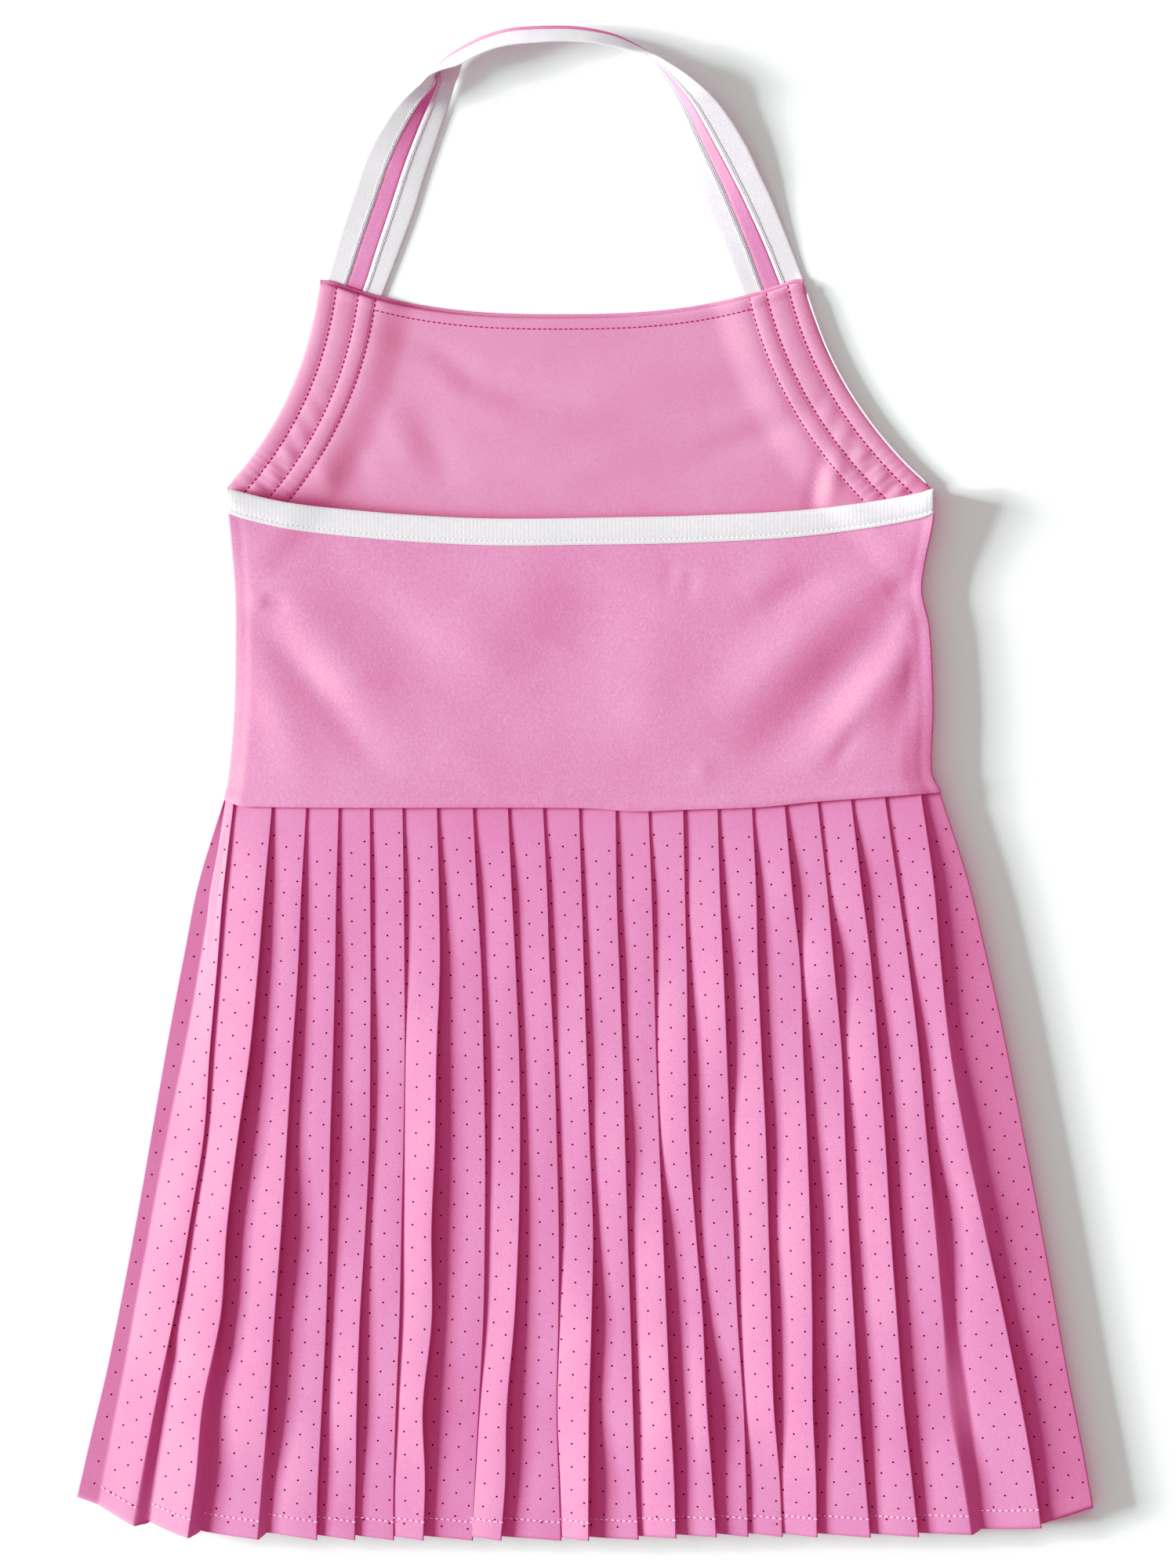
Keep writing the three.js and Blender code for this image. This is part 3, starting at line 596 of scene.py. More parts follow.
declare(back_binding, "white_knit", "back_binding")

# The pleated skirt: thin pressed polyester with small round holes, laid in knife pleats that all turn
# one way and sewn into the waist. The hem is turned up once and stitched. Where the table gives an
# open width, the pleat has come apart towards the hem and shows its inner side.
TUCK_DEPTH = 6.0
SKIRT_LENGTH = 334
HEM_TURN = 0.976
TOP_INSET = 1.8
SIDE_CREASE = (-165.1, -170.9, -176.2, -183.1, -191.0, -198.2, -205.2, -212.3, -218.6, -223.4)
FOLD_RISE, FOLD_HEIGHTS = 1.0, 1.1
FOLDS = [
    # a fold edge's x at each level from waist to hem, and how high it stands there
    ((-161.3, -166.0, -168.6, -172.0, -174.8, -181.1, -187.8, -196.1, -202.6, -207.4),
     (0.7, 1.1, 1.6, 2.0, 2.2, 2.3, 2.3, 1.6, 1.6, 1.5)),
    ((-143.6, -147.1, -149.8, -153.7, -159.3, -164.1, -167.0, -175.2, -178.4, -182.2),
     (1.2, 2.0, 3.2, 4.3, 4.8, 4.8, 4.4, 3.6, 4.7, 4.7)),
    ((-127.8, -130.1, -131.5, -134.2, -136.7, -139.2, -142.3, -145.0, -148.0, -150.3),
     (0.7, 1.1, 1.8, 2.8, 3.2, 4.4, 3.6, 3.6, 2.4, 2.4)),
    ((-112.9, -114.0, -114.5, -115.5, -116.8, -117.5, -118.6, -120.6, -122.4, -123.2),
     (0.8, 0.8, 1.2, 1.8, 2.3, 2.0, 1.7, 1.9, 2.1, 2.1)),
    ((-98.6, -98.4, -98.2, -98.4, -98.8, -100.7, -103.2, -104.6, -105.1, -105.7),
     (0.7, 0.8, 0.7, 1.0, 0.9, 1.2, 2.0, 2.5, 1.2, 1.2)),
    ((-83.6, -83.0, -82.7, -82.6, -83.2, -84.1, -85.0, -86.6, -87.7, -87.9),
     (0.7, 1.0, 1.0, 0.7, 0.7, 1.2, 1.4, 1.7, 0.7, 0.7)),
    ((-67.8, -66.8, -66.5, -68.0, -68.7, -70.3, -70.2, -74.3, -73.3, -74.3),
     (0.8, 1.3, 1.9, 3.1, 3.3, 3.4, 2.8, 3.5, 2.6, 2.6)),
    ((-51.3, -49.4, -47.4, -46.5, -45.7, -45.8, -46.5, -48.6, -50.4, -51.7),
     (0.7, 1.1, 0.8, 1.4, 1.4, 1.3, 1.1, 0.7, 0.7, 0.7)),
    ((-35.2, -33.4, -31.7, -30.1, -29.7, -30.4, -32.3, -35.8, -36.5, -38.6),
     (0.7, 1.1, 1.0, 0.9, 1.5, 2.2, 2.5, 2.8, 3.1, 3.1)),
    ((-19.1, -17.2, -16.1, -14.0, -12.8, -11.9, -12.1, -12.9, -11.9, -11.0),
     (0.7, 0.8, 1.3, 0.7, 0.7, 1.0, 1.1, 0.8, 1.3, 1.4)),
    ((-2.6, -1.4, -0.4, 0.9, 2.3, 3.8, 3.1, 2.0, 1.7, 1.6),
     (0.7, 0.7, 1.3, 1.4, 1.1, 1.4, 3.4, 3.6, 4.7, 4.6)),
    ((14.2, 14.7, 15.9, 17.4, 18.5, 19.7, 21.0, 22.1, 23.2, 24.4),
     (1.1, 0.8, 1.2, 1.2, 2.0, 1.6, 1.9, 3.0, 2.5, 2.5)),
    ((29.3, 30.8, 31.7, 32.8, 34.2, 35.8, 37.5, 39.2, 40.9, 41.6),
     (0.7, 0.7, 0.7, 0.7, 1.0, 2.4, 3.2, 4.8, 4.3, 4.3)),
    ((45.2, 46.0, 46.8, 47.3, 48.0, 50.9, 54.1, 55.9, 58.4, 60.2),
     (1.4, 0.8, 1.4, 2.5, 2.2, 1.6, 2.0, 3.9, 3.0, 3.1)),
    ((61.0, 62.1, 63.6, 65.2, 66.7, 68.3, 70.0, 72.8, 74.0, 74.7),
     (0.7, 1.6, 2.5, 2.5, 1.3, 1.7, 1.7, 1.3, 0.9, 0.9)),
    ((76.8, 78.7, 79.4, 81.2, 83.1, 84.3, 85.4, 86.6, 89.4, 90.5),
     (0.7, 1.7, 1.8, 2.3, 3.0, 2.8, 3.4, 3.4, 1.1, 1.1)),
    ((91.8, 95.3, 98.9, 100.2, 102.0, 103.4, 104.3, 104.5, 106.0, 106.4),
     (1.1, 1.6, 0.9, 1.9, 3.2, 4.1, 3.6, 4.0, 3.0, 2.9)),
    ((106.8, 111.3, 114.2, 117.9, 119.4, 121.1, 123.4, 125.8, 128.6, 130.9),
     (1.0, 0.7, 2.2, 1.5, 2.9, 3.2, 2.7, 2.8, 2.9, 2.8)),
    ((122.2, 127.0, 131.3, 134.7, 137.7, 140.1, 143.1, 146.2, 150.0, 153.0),
     (0.7, 1.6, 1.2, 2.6, 3.3, 3.7, 2.7, 2.2, 3.0, 3.0)),
    ((137.7, 143.6, 148.3, 153.1, 156.8, 160.7, 164.1, 166.9, 173.0, 177.4),
     (0.7, 0.7, 1.1, 2.1, 2.5, 3.3, 1.6, 0.7, 2.6, 2.6)),
    ((154.3, 160.1, 163.1, 167.3, 174.0, 182.6, 191.4, 199.4, 205.4, 209.3),
     (1.3, 1.3, 1.7, 1.8, 2.3, 2.3, 1.8, 2.1, 2.0, 2.0)),
]
OPENED = {
    # how wide the folded-under part shows at each level
    0: (0, 0, 0, 0, 0, 0, 0, 3.4, 5.7, 7.8),
    1: (0, 0, 0, 0, 0, 0, 0.2, 4.4, 4.9, 5.8),
    2: (0, 0, 0, 0, 0, 0, 0, 0.8, 2.6, 4.2),
    19: (0, 0, 0, 0, 0.4, 2.4, 5.0, 9.0, 6.6, 4.4),
    20: (0, 0, 0, 2.6, 5.8, 2.4, 0, 0, 0, 0),
}
HEM_X = [-233.6, -207, -182, -150, 0, 60, 153, 209, 234]
HEM_Y = [-327.5, -337, -342.5, -343.6, -345.2, -343.5, -343.4, -339.5, -332.5]


def tucked_in(t):
    """The strip above the waist line is narrower, to stay hidden inside the back panel."""
    return TOP_INSET * ease(-np.asarray(t) / 0.012)


def left_side(t):
    return smooth(LEVELS, SIDE_SEAMS[0], t) + tucked_in(t)


def right_side(t):
    return smooth(LEVELS, SIDE_SEAMS[1], t) - tucked_in(t)


def skirt_y(x, t):
    across = np.clip((x - left_side(t)) / (right_side(t) - left_side(t)), 0, 1)
    waist = waist_y(mix(SIDE_SEAMS[0][0], SIDE_SEAMS[1][0], across))
    hem = smooth(HEM_X, HEM_Y, mix(SIDE_SEAMS[0][-1], SIDE_SEAMS[1][-1], across))
    return mix(waist, hem, t)


def fold_edge(i, t):
    """Where pleat i's fold edge runs, and how high it stands over the skirt's base."""
    places, heights = FOLDS[i]
    pressed = mix(0.45, 1, ease((np.asarray(t) + 0.015) / 0.14))
    settled = mix(1, 0.82, ease((np.asarray(t) - 0.84) / 0.14))
    rise = (FOLD_RISE + FOLD_HEIGHTS * smooth(LEVELS, heights, t)) * pressed * settled
    return smooth(LEVELS, places, t), np.maximum(rise, 1.0)


def hem_dip(i, t):
    return mix(3.8, 2.4, min(i / 8, 1)) * np.clip(t, 0, 1) ** 2


def tucked_x(x, t):
    return x - np.minimum(TUCK_DEPTH, 0.5 * (x - left_side(t)))


def tuck(i, t):
    """Where the cloth comes out from under pleat i: under its fold edge, or past it if it is open."""
    x, _ = fold_edge(i, t)
    width = smooth(LEVELS, OPENED[i], t) if i in OPENED else 0 * t
    opened = ease(width / 2.0)
    place = mix(tucked_x(x, t), x + width, opened)
    return place, skirt_base(place, t), opened, width


def pleat_face(i, q, t):
    """A point of pleat i's visible face: q runs from the tucked side to the fold edge."""
    if i:
        from_x, from_z, _, _ = tuck(i - 1, t)
    else:
        from_x = smooth(LEVELS, SIDE_CREASE, t)
        from_z = LEFT_EDGE - 0.2 + 0 * from_x
    x, height = fold_edge(i, t)
    z = mix(from_z, skirt_base(x, t) + height, 1 - (1 - q) ** 1.2)
    z = z + 0.2 * np.sin(11 * t + 5 * i + 2 * q) * np.sin(math.pi * q) * ease(t / 0.3)
    place_x = mix(from_x, x, q)
    place_y = skirt_y(place_x, t) - hem_dip(i, t) * q
    return np.stack(np.broadcast_arrays(place_x, place_y, z), -1)


UNDERLAY = [
    # pressed: sideways and up from the fold edge; open: share of the open width, share of the height
    (0.12, -0.1, 0.12, 0.93),
    (0.02, -0.3, 0.3, 0.75),
    (None, 0.33, 0.5, 0.5),
    (0.3, 0.33, 0.72, 0.27),
    (0.0, 0.17, 0.88, 0.1),
]


def pleat_underlay(i, t):
    """The part of pleat i that turns back at the fold edge, down to where the next face starts."""
    x, height = fold_edge(i, t)
    base = skirt_base(x, t)
    _, _, opened, width = tuck(i, t)
    inner = tucked_x(x, t)
    inner_z = skirt_base(inner, t)
    columns = []
    for k, (side, up, share, level) in enumerate(UNDERLAY):
        if k < 2:
            pressed = (x + side, base + height + up)
        elif side is None:
            pressed = (mix(x, inner, 0.5), mix(base + height - 0.3, inner_z + 0.33, 0.5))
        else:
            pressed = (inner + side, inner_z + up)
        open_place = (x + share * width, base + level * height)
        px, pz = mix(pressed[0], open_place[0], opened), mix(pressed[1], open_place[1], opened)
        dip = hem_dip(i, t) * (1 - k / 5)
        columns.append(np.stack([px, skirt_y(px, t) - dip, pz], -1))
    return columns


def left_strip(q, t):
    x = mix(left_side(t), smooth(LEVELS, SIDE_CREASE, t), q)
    return np.stack([x, skirt_y(x, t), mix(LEFT_EDGE + 0.15, LEFT_EDGE - 0.2, q) + 0 * x], -1)


def right_strip(q, t, past=0.0):
    x = mix(tuck(len(FOLDS) - 1, t)[0], right_side(t) + past, q)
    return np.stack([x, skirt_y(x, t), skirt_base(x, t)], -1)


skirt_t = np.concatenate([np.linspace(-0.015, 0.972, 96), [HEM_TURN, 0.9785, 0.983, 0.9885, 0.994, 1.0]])
skirt_columns = [left_strip(q, skirt_t) for q in (0, 0.01, 0.04, 0.12, 0.3, 0.5, 0.7, 0.88)]
for i in range(len(FOLDS)):
    for q in (0, 0.04, 0.13, 0.26, 0.4, 0.54, 0.68, 0.8, 0.89, 0.955, 0.987, 1):
        skirt_columns.append(pleat_face(i, q, skirt_t))
    skirt_columns.extend(pleat_underlay(i, skirt_t))
skirt_columns += [right_strip(q, skirt_t) for q in (0, 0.15, 0.3, 0.45, 0.6, 0.75, 0.88, 0.96, 0.99, 1.0)]
skirt_grid = np.stack(skirt_columns, axis=1)
hem_thickness = mix(0.26, 0.5, ease((skirt_t - HEM_TURN) / 0.004))[:, None]
pleated = cloth_material(
    "pressed_pink_polyester", linear_colour(211, 138, 169), linear_colour(207, 132, 164), 1300, rib=("X", 1500, 0.3), relief=0.2
)
skirt_back = cloth_piece("skirt_back_cloth", with_sides(skirt_grid), pleated, hem_thickness)
declare(skirt_back, "pleated_woven", "skirt_back")

# The front of the skirt is made like its back. It lies under it, face down on the table, and its top
# edge is sewn to the lower edge of the front bodice.
FRONT_PLEATS, FRONT_PLEAT_INSET = 21, 12
FRONT_HEIGHT, OVER_SHELL_EDGE = 0.35, 1.4
front_t = np.concatenate([np.linspace(-0.015, 0.97, 34), [HEM_TURN, 0.98, 0.99, 1.0]])
front_lift = FRONT_HEIGHT + OVER_SHELL_EDGE * (1 - ease((front_t - 0.03) / 0.05))
FRONT_SECTION = [
    # left of the fold edge, up from the face
    (6.2, 0.9),
    (2.2, 1.5),
    (0.9, 1.45),
    (-5.4, 1.4),
    (-6.0, 1.1),
    (-5.6, 0.75),
    (-0.4, 0.72),
    (0.15, 0.4),
    (-0.2, 0.02),
    (-4.0, 0.0),
]


def front_column(x, drop, up):
    return np.stack([x, skirt_y(x, front_t) - drop, front_lift + up], -1)


front_columns = [front_column(left_side(front_t), 0, 0)]
first_fold, last_fold = left_side(front_t) + FRONT_PLEAT_INSET, right_side(front_t) - FRONT_PLEAT_INSET
for k in range(FRONT_PLEATS):
    edge = mix(first_fold, last_fold, (k + 0.5) / FRONT_PLEATS)
    for side, up in FRONT_SECTION:
        drop = 1.2 * ease(1 - abs(side) / 8) * np.clip(front_t, 0, 1) ** 2
        front_columns.append(front_column(edge - side, drop, up))
front_columns.append(front_column(right_side(front_t), 0, 0))
skirt_front = cloth_piece("skirt_front_cloth", np.stack(front_columns, axis=1), pleated, CLOTH * 0.8)
declare(skirt_front, "pleated_woven", "skirt_front")

# The holes punched in the skirt's cloth: a little under 1 mm across, in columns 6 mm apart that
# follow the pleats, each column shifted by half a step against the next. Each hole is a flat disc
# just over the cloth, painted with the dark shade that shows inside a real hole.
HOLE_RADIUS = 0.00042
HOLE_COLUMN, HOLE_STEP = 6.0, 10.5
HOLE_ROWS, HOLE_COLUMNS = 32, 7
FIRST_HOLE, LAST_ROW = 1.7, 0.985


def socket_of(tree, name):
    return next(s.identifier for s in tree.interface.items_tree if s.name == name and s.in_out == "INPUT")


def grow(name, points, edges, facing, tree, settings, slot):
    """Runs a Geometry Nodes tree on points or lines that carry the way their surface faces."""
    mesh = bpy.data.meshes.new(name)
    mesh.from_pydata((np.asarray(points) * MM).tolist(), edges, [])
    mesh.attributes.new("facing", "FLOAT_VECTOR", "POINT").data.foreach_set("vector", np.ravel(facing))
    piece = bpy.data.objects.new(name, mesh)
    bpy.context.collection.objects.link(piece)
    modifier = piece.modifiers.new("grow", "NODES")
    modifier.node_group = tree
    for setting, value in settings.items():
        modifier[socket_of(tree, setting)] = value
    bpy.context.view_layer.update()
    grown = piece.evaluated_get(bpy.context.evaluated_depsgraph_get())
    result = bpy.data.meshes.new_from_object(grown)
    piece.modifiers.clear()
    piece.data = result
    declare(piece, slot)
    return piece


def add_inputs(tree, inputs):
    tree.interface.new_socket("Geometry", in_out="INPUT", socket_type="NodeSocketGeometry")
    for name, kind in inputs:
        tree.interface.new_socket(name, in_out="INPUT", socket_type=kind)
    tree.interface.new_socket("Geometry", in_out="OUTPUT", socket_type="NodeSocketGeometry")


def place_on(tree, points, shape, sideways, material):
    """Puts the shape on every point, with its z the way the cloth faces and its x along sideways."""
    facing = add_node(
        tree, "GeometryNodeInputNamedAttribute", {"Name": "facing"}, data_type="FLOAT_VECTOR"
    ).outputs["Attribute"]
    axes = {"Primary Axis": facing, "Secondary Axis": sideways}
    turn = add_node(tree, "FunctionNodeAxesToRotation", axes, primary_axis="Z", secondary_axis="X")
    put = add_node(
        tree,
        "GeometryNodeInstanceOnPoints",
        {"Points": points, "Instance": shape, "Rotation": turn.outputs["Rotation"]},
    )
    real = add_node(tree, "GeometryNodeRealizeInstances", {"Geometry": put.outputs["Instances"]})
    looks = {"Geometry": real.outputs["Geometry"], "Material": material}
    finish = add_node(tree, "GeometryNodeSetMaterial", looks)
    add_node(tree, "NodeGroupOutput", {"Geometry": finish.outputs["Geometry"]})


def hole_tree():
    """A flat ten-sided disc on every point."""
    tree = bpy.data.node_groups.new("punched_holes", "GeometryNodeTree")
    add_inputs(tree, [("Radius", "NodeSocketFloat"), ("Material", "NodeSocketMaterial")])
    start = add_node(tree, "NodeGroupInput").outputs
    size = {"Vertices": 10, "Radius": start["Radius"]}
    disc = add_node(tree, "GeometryNodeMeshCircle", size, fill_type="NGON")
    points = add_node(tree, "GeometryNodeMeshToPoints", {"Mesh": start["Geometry"]}).outputs["Points"]
    place_on(tree, points, disc.outputs["Mesh"], (1, 0, 0), start["Material"])
    return tree


faces_with_holes = [partial(pleat_face, i) for i in range(len(FOLDS))]
faces_with_holes += [left_strip, partial(right_strip, past=0.5)]
hole_places, hole_facing = [], []
for i, face_at in enumerate(faces_with_holes):
    phase = (i * 0.618) % 1
    for row in range(1, HOLE_ROWS + 1):
        for k in range(HOLE_COLUMNS):
            t = (row + 0.5 * (k % 2) + phase) * HOLE_STEP / SKIRT_LENGTH
            if t > LAST_ROW:
                continue
            at = np.array([t, t, t + 0.002])
            ends = [face_at(q, at)[0] for q in (0.0, 1.0)]
            width = np.linalg.norm(ends[1] - ends[0])
            q = 1 - (FIRST_HOLE + HOLE_COLUMN * k + 2.0 * phase) / width
            if not 0.06 < q < 0.97:
                continue
            here, beside = (face_at(share, at) for share in (q, q + 0.02))
            facing = np.cross(beside[0] - here[0], here[0] - here[2])
            facing /= np.linalg.norm(facing)
            half_cloth = 0.28 if t > HEM_TURN else 0.15
            hole_places.append(here[0] + facing * (half_cloth + 0.03))
            hole_facing.append(facing)
# Painted shade: the discs' near-black pink stands for the shade seen down inside each hole.
painted_hole_shade = {"Base Color": linear_colour(62, 8, 36), "Roughness": 1.0, "Specular IOR Level": 0.0}
hole_settings = {"Radius": HOLE_RADIUS, "Material": new_material("shade_inside_holes", painted_hole_shade)[0]}
grow("skirt_holes", hole_places, [], hole_facing, hole_tree(), hole_settings, "pleated_woven")

# The striped strap: two white bands and a pink one between them, sewn edge to edge. It edges the left
# armhole on the dress's outside, runs round the neck and comes down along the right armhole. Over
# the neck it stands on its inner edge and leans in; at the sides it lies nearly flat.
BANDS = ("inner_band", "centre", "outer_band")
BAND_WIDTHS = (10.2, 6.8, 10.2)
BAND_FULL_WIDTHS = (11.6, 6.9, 11.6)
BAND_THICKNESS = (1.0, 0.8, 1.0)
BAND_OVERLAPS = (0.0, 0.25, 0.0)
BAND_LENGTHS = (0.66, 0.64, 0.62)
TURNED_EDGE, LEAST_CUT = 0.0008, 0.0104
STRAP_WIDTH = sum(BAND_WIDTHS)
BAND_SHOWS = 1.5
RAISED_EDGE = 2.9
BAND_LEVEL = 0.6
SEWN_ROWS = 7
LEFT_LEG_STANDS, RIGHT_LEG_STANDS, ARCH_STANDS = 0.24, 0.37, 0.52
LOOP = [
    # where the four lines between and beside the bands lie, from the inner edge to the outer one
    (-92.5, 225.7, -101.9, 227.5, -109.1, 229.7, -118.8, 231.8),
    (-86.0, 242.3, -96.1, 245.2, -103.0, 247.7, -113.4, 250.6),
    (-78.5, 262.4, -88.9, 266.8, -95.4, 269.6, -106.2, 272.5),
    (-73.4, 279.0, -83.5, 283.3, -89.3, 286.6, -100.4, 289.1),
    (-68.4, 293.9, -77.8, 298.4, -82.8, 301.0, -91.8, 304.2),
    (-63.4, 308.5, -72.0, 312.5, -76.0, 312.8, -84.2, 314.3),
    (-59.8, 320.8, -68.4, 321.5, -68.9, 321.8, -76.0, 321.8),
    (-58.5, 324.2, -68.8, 326.2, -69.2, 325.8, -71.8, 325.6),
    (-57.4, 327.4, -67.4, 330.2, -67.2, 329.6, -67.0, 327.8),
    (-56.6, 330.0, -64.4, 333.4, -64.0, 332.8, -62.0, 329.2),
    (-56.0, 332.0, -61.4, 335.6, -61.0, 334.8, -57.8, 330.4),
    (-49.6, 336.0, -54.6, 339.8, -54.0, 338.7, -49.9, 334.5),
    (-41.0, 339.6, -45.6, 344.1, -45.0, 342.7, -40.9, 338.0),
    (-31.8, 341.6, -34.6, 347.1, -34.4, 345.7, -31.9, 339.8),
    (-22.7, 342.6, -23.0, 348.1, -23.0, 346.6, -22.7, 340.6),
    (-13.7, 343.0, -13.7, 348.3, -13.7, 346.8, -13.7, 341.2),
    (-4.7, 342.8, -4.0, 347.9, -4.1, 346.5, -4.7, 341.1),
    (4.0, 341.8, 5.8, 346.4, 5.4, 345.3, 4.0, 340.5),
    (12.6, 338.8, 15.1, 343.8, 14.8, 343.1, 13.0, 338.6),
    (20.5, 335.2, 23.4, 339.7, 23.6, 339.1, 22.0, 336.6),
    (25.9, 331.6, 29.9, 335.5, 30.2, 335.2, 31.3, 335.2),
    (30.2, 326.9, 34.6, 329.6, 34.9, 329.9, 41.0, 330.1),
    (34.9, 319.0, 40.0, 322.4, 41.0, 323.3, 50.0, 324.0),
    (38.5, 308.9, 46.1, 312.5, 48.6, 313.6, 59.4, 315.7),
    (42.8, 296.6, 51.5, 300.6, 55.4, 302.0, 67.7, 304.9),
    (48.2, 283.1, 57.6, 287.6, 62.3, 289.1, 75.2, 292.3),
    (52.7, 272.2, 63.0, 276.5, 68.0, 278.3, 80.3, 281.2),
    (57.2, 261.5, 67.7, 265.3, 73.4, 267.5, 85.7, 270.0),
    (65.5, 243.0, 75.6, 245.9, 82.4, 247.7, 93.6, 250.6),
    (72.7, 224.6, 82.4, 227.2, 89.6, 229.7, 100.8, 231.8),
]


def armhole_rows(side):
    places, inward = armhole(side, np.linspace(0.16, 1.0, SEWN_ROWS))
    into = [sum(BAND_WIDTHS[k:]) - BAND_SHOWS for k in range(4)]
    rows = np.stack([places + inward * step for step in into], axis=1).reshape(-1, 8)
    return rows[::-1] if side == "left" else rows


strap_rows = np.concatenate([armhole_rows("left"), LOOP, armhole_rows("right")])
strap_at = np.linspace(0, len(strap_rows) - 1, 340)
strap_lines = [
    np.stack([smooth(np.arange(len(strap_rows)), strap_rows[:, 2 * k + c], strap_at) for c in (0, 1)], -1)
    for k in range(4)
]
foot = strap_lines[0]
heading = np.gradient(foot, axis=0)
heading /= np.linalg.norm(heading, axis=1, keepdims=True)
off_end = np.minimum(strap_at, len(strap_rows) - 1 - strap_at)


def stand_up():
    """Lifts the four lines: what a band lacks in its width seen from above, it gains in height."""
    free = ease((off_end - SEWN_ROWS - 0.2) / 3)
    left = 1 - ease((foot[:, 0] + 66) / 12)
    high = [BAND_LEVEL + 0 * free]
    for k, full in enumerate(BAND_FULL_WIDTHS):
        seen = np.linalg.norm(strap_lines[k + 1] - strap_lines[k], axis=1)
        rise = np.sqrt(np.maximum(full**2 - seen**2, 0.0))
        least = np.sin(np.radians(mix(14, 8, left))) * full
        high.append(high[-1] + np.maximum(rise, least) * free)
    arch = ease((foot[:, 1] - mix(272, 298, left)) / mix(60, 34, left))
    stands = mix(mix(RIGHT_LEG_STANDS, LEFT_LEG_STANDS, left), ARCH_STANDS, arch)
    lens = np.array(PICTURE_MIDDLE) / MM
    lines = []
    for line, up in zip(strap_lines, high):
        up = BAND_LEVEL + (up - BAND_LEVEL) * stands
        nearer = 1 - up[:, None] * MM / CAMERA_HEIGHT
        lines.append(np.column_stack([lens + (line - lens) * nearer, up]))
    return lines


raised_lines = stand_up()


def run_along(line):
    return np.concatenate([[0], np.cumsum(np.linalg.norm(np.diff(line, axis=0), axis=1))])


def band_frame(which):
    """A band's inner edge along the strap, its step to the outer edge, and the way that it faces."""
    edge, far = raised_lines[which : which + 2]
    across = far - edge
    face = np.cross(np.gradient(edge + far, axis=0), across)
    face /= np.linalg.norm(face, axis=1, keepdims=True)
    return edge, across / BAND_WIDTHS[which], face


def band_piece(which, material):
    """One band: a thin ring of points, rounded at both edges, swept along the strap."""
    overlap = BAND_OVERLAPS[which]
    width, half = BAND_WIDTHS[which] + 2 * overlap, BAND_THICKNESS[which] / 2
    edge, across, face = band_frame(which)
    stops = [0, 0.25, 0.7, 1.5, 0.33 * width, 0.5 * width, 0.67 * width]
    stops += [width - back for back in (1.5, 1.1, 0.7, 0.25, 0)]
    fullness = [0, 0.62, 0.9, 1, 1, 1, 1, 1, 1, 0.9, 0.62, 0]
    upper = [(stop, full * half) for stop, full in zip(stops, fullness)]
    ring = upper + [(stop, -high) for stop, high in upper[-2:0:-1]]
    ring_stops = np.array([stop for stop, _ in ring])
    along_count, ring_count = len(edge), len(ring)
    points = np.concatenate([edge + across * (stop - overlap) + face * high for stop, high in ring])
    points = points.reshape(ring_count, along_count, 3)
    run = run_along(foot)
    # The ribbon is cut along the side seams, which it meets at a slant.
    inset = STRAP_WIDTH - BAND_SHOWS - sum(BAND_WIDTHS[:which]) - ring_stops
    reach = (0.728 * inset - 2.0) / 0.685
    for end, way, left_over in ((0, -1, run), (-1, 1, run[-1] - run)):
        share = ease(1 - left_over / 40)
        points[..., :2] += (reach[:, None] * share)[..., None] * heading[end] * way
    if BANDS[which] == "outer_band":
        sewn = (1 - ease((off_end - SEWN_ROWS + 0.6) / 0.8)) * (foot[:, 0] > 0)
        turned_up = ease((ring_stops - width + 1.7) / 0.4)
        points[..., 2] += RAISED_EDGE * turned_up[:, None] * sewn
    points[..., 2] = np.maximum(points[..., 2], 0.0)
    # Near its ends the ribbon stays inside the side seams.
    for side, out in (("left", -1), ("right", 1)):
        seam = out * smooth(SIDE_Y, SIDE_X[side], points[..., 1]) - 1.2
        beyond = (points[..., 1] < 134) & (out * points[..., 0] > seam)
        points[..., 0] = np.where(beyond, out * seam, points[..., 0])
    number = np.arange(ring_count * along_count).reshape(ring_count, along_count)
    following = np.roll(number, -1, axis=0)
    sides = np.stack([number[:, :-1], number[:, 1:], following[:, 1:], following[:, :-1]], -1)
    faces = sides.reshape(-1, 4).tolist()
    faces += [number[:, 0].tolist(), number[::-1, -1].tolist()]
    uv = np.stack(np.meshgrid(run_along(edge), run_along(np.array(ring))), -1).reshape(-1, 2) * MM
    return new_piece(f"strap_{BANDS[which]}_tape", points.reshape(-1, 3), faces, material, uv)


strap_pink = cloth_material("pink_strap_knit", linear_colour(216, 144, 176), linear_colour(211, 138, 170), 900)
strap_white = cloth_material("white_strap_knit", linear_colour(228, 224, 229), linear_colour(223, 219, 225), 1000)
for which, label in enumerate(BANDS):
    pink = label == "centre"
    band = band_piece(which, strap_pink if pink else strap_white)
    declare(band, "strap_knit" if pink else "white_knit", f"strap_{label}")
    length, cut = BAND_LENGTHS[which], BAND_WIDTHS[which] * MM + TURNED_EDGE

# The stitches: one row along the neckline, three rows beside each armhole, one on the binding, one
# round the hem, and a looped chain on each white band of the strap. The thread is rounded and lies
# in the groove that it pulls into the cloth.
STITCH_PITCH, STITCH_LENGTH, THREAD = 0.0024, 0.0017, 0.00055
CHAIN_LOOP, CHAIN_HALF_WIDTH, CHAIN_STARTS = 2.4, 0.55, 30


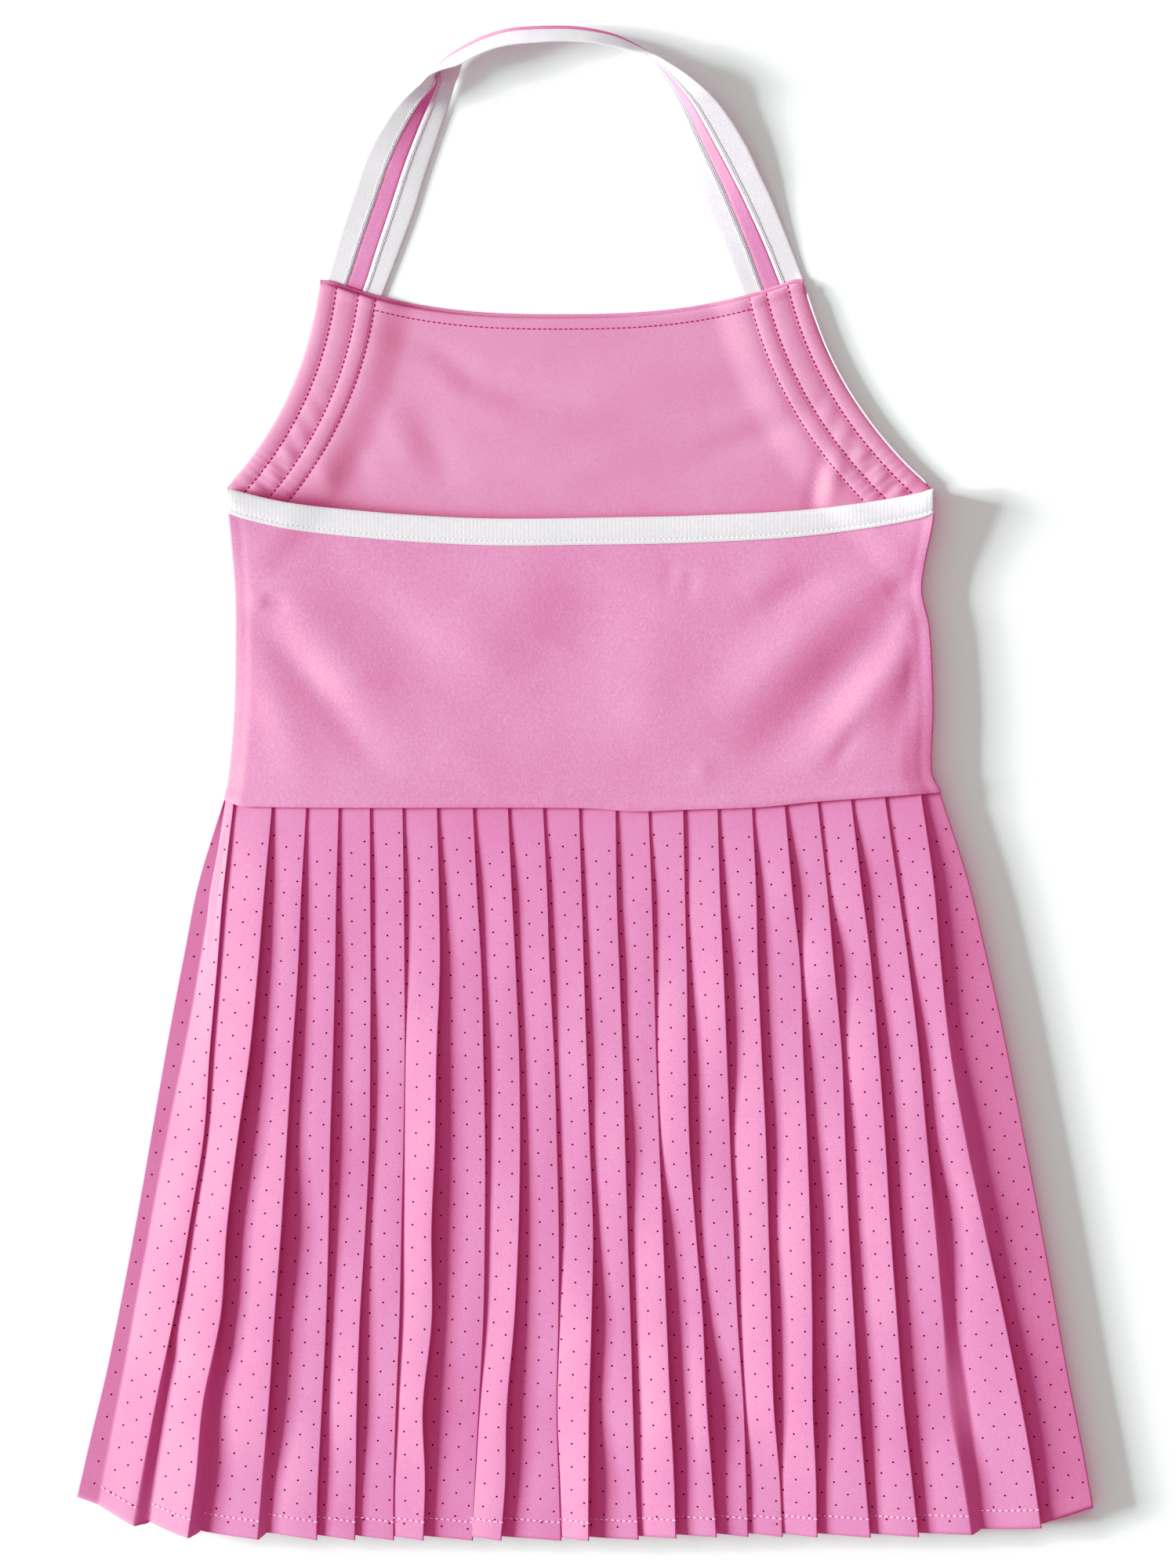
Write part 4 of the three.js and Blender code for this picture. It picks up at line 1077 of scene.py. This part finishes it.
def stitch_tree():
    """Rounded stitches, spaced along a line, each turned the way the cloth faces."""
    tree = bpy.data.node_groups.new("stitch_row", "GeometryNodeTree")
    floats = [(name, "NodeSocketFloat") for name in ("Pitch", "Stitch length", "Thread width")]
    add_inputs(tree, floats + [("Material", "NodeSocketMaterial")])
    start = add_node(tree, "NodeGroupInput").outputs
    line = add_node(tree, "GeometryNodeMeshToCurve", {"Mesh": start["Geometry"]})
    steps = {"Curve": line.outputs["Curve"], "Length": start["Pitch"]}
    spaced = add_node(tree, "GeometryNodeResampleCurve", steps, mode="LENGTH")
    stitch = add_node(tree, "GeometryNodeMeshUVSphere", {"Radius": 0.5, "Segments": 8, "Rings": 5})
    width = start["Thread width"]
    size = add_node(tree, "ShaderNodeCombineXYZ", {"X": start["Stitch length"], "Y": width, "Z": width})
    stretch = {"Geometry": stitch.outputs["Mesh"], "Scale": size.outputs["Vector"]}
    shaped = add_node(tree, "GeometryNodeTransform", stretch)
    rounded = add_node(tree, "GeometryNodeSetShadeSmooth", {"Geometry": shaped.outputs["Geometry"]})
    along = add_node(tree, "GeometryNodeInputTangent").outputs["Tangent"]
    place_on(tree, spaced.outputs["Curve"], rounded.outputs["Geometry"], along, start["Material"])
    return tree


def thread_material(name, colour):
    material, tree, shader = new_material(name, {"Roughness": 0.6})
    place = add_node(tree, "ShaderNodeTexCoord").outputs["Object"]
    twist = add_node(tree, "ShaderNodeTexNoise", {"Vector": place, "Scale": 2500}).outputs["Fac"]
    darker = tuple(0.8 * c for c in colour[:3]) + (1,)
    wire(tree, shader, {"Base Color": ramp(tree, twist, (0, darker), (1, colour))})
    return material


def row_on(grid, i_rows, i_columns, lift):
    """A line over a grid of cloth, with the cloth's facing, through fractional rows and columns."""
    normal = normals_of(grid)
    i_rows, i_columns = np.broadcast_arrays(np.asarray(i_rows, float), np.asarray(i_columns, float))
    r = np.clip(i_rows.astype(int), 0, grid.shape[0] - 2)
    c = np.clip(i_columns.astype(int), 0, grid.shape[1] - 2)
    fr, fc = (i_rows - r)[:, None], (i_columns - c)[:, None]
    weights = [((1 - fr) * (1 - fc), 0, 0), ((1 - fr) * fc, 0, 1), (fr * (1 - fc), 1, 0), (fr * fc, 1, 1)]
    place = sum(w * grid[r + a, c + b] for w, a, b in weights)
    facing = sum(w * normal[r + a, c + b] for w, a, b in weights)
    return place + facing * lift, facing


def lines_of(rows):
    points = np.concatenate([place for place, _ in rows])
    facing = np.concatenate([face for _, face in rows])
    edges, first = [], 0
    for place, _ in rows:
        edges += [(first + k, first + k + 1) for k in range(len(place) - 1)]
        first += len(place)
    return points, edges, facing


stitching = stitch_tree()
neck_columns = np.linspace(len(BESIDE) - 1, len(BESIDE) + len(BETWEEN), 200)
drop_rows = []
for c in neck_columns:
    column = lining_grid[:60, int(round(c))]
    drop_rows.append(np.interp(NECK_FACING, column[0, 1] - column[:, 1], np.arange(60)))
lining_rows = [row_on(lining_grid, drop_rows, neck_columns, 0.3)]
for side in ("left", "right"):
    for offset in ARMHOLE_ROWS:
        c = np.interp(offset, BESIDE, np.arange(len(BESIDE)))
        c = c if side == "left" else lining_grid.shape[1] - 1 - c
        rows = np.linspace(0.6, 95, 130)
        lining_rows.append(row_on(lining_grid, rows, np.full(len(rows), c), 0.28))
pink_thread = thread_material("deep_pink_thread", linear_colour(148, 50, 98))
pale_thread = thread_material("pale_pink_thread", linear_colour(250, 205, 226))
white_thread = thread_material("white_thread", linear_colour(226, 224, 230))
single = {"Pitch": STITCH_PITCH, "Stitch length": STITCH_LENGTH, "Thread width": THREAD}
pink = {**single, "Material": pink_thread}
grow("lining_stitches", *lines_of(lining_rows), stitching, pink, "lining_knit")

binding_grid = np.array(binding_rows)
groove = float(len(BINDING_SECTION) - 1 - 4)
binding_columns = np.linspace(1, binding_grid.shape[1] - 2, 300)
binding_row = row_on(binding_grid, groove, binding_columns, 0.3)
fine = {**single, "Thread width": 0.0004, "Material": white_thread}
grow("binding_stitches", *lines_of([binding_row]), stitching, fine, "white_knit")

hem_rows = []
for i in range(len(FOLDS)):
    q = np.linspace(0.05, 0.985, 24)
    t = np.full(3, HEM_TURN - 0.001) + [0, 0, 0.002]
    places = np.array([pleat_face(i, share, t) for share in q])
    across = np.gradient(places[:, 0], axis=0)
    face = np.cross(across, places[:, 0] - places[:, 2])
    face /= np.linalg.norm(face, axis=1, keepdims=True)
    hem_rows.append((places[:, 0] + face * 0.32, face))
hem = {**single, "Pitch": 0.0026, "Stitch length": 0.0021, "Material": pale_thread}
grow("hem_stitches", *lines_of(hem_rows), stitching, hem, "pleated_woven")

chains = []
for which, at in ((0, 8.4), (2, 1.5)):
    frame_lines = band_frame(which)
    length = run_along(frame_lines[0])
    for wave in (0.0, 0.5):
        steps = np.arange(CHAIN_STARTS, length[-1] - CHAIN_STARTS, 0.6)
        swing = CHAIN_HALF_WIDTH * np.sin(2 * math.pi * (steps / CHAIN_LOOP + wave))
        middle, cross, out = (
            np.stack([np.interp(steps, length, part[:, k]) for k in range(3)], -1) for part in frame_lines
        )
        chains.append((middle + cross * (at + swing)[:, None] + out * (0.62 + 0.05 * wave), out))
chain = {"Pitch": 0.0009, "Stitch length": 0.00115, "Thread width": 0.00032, "Material": white_thread}
grow("strap_stitches", *lines_of(chains), stitching, chain, "white_knit")
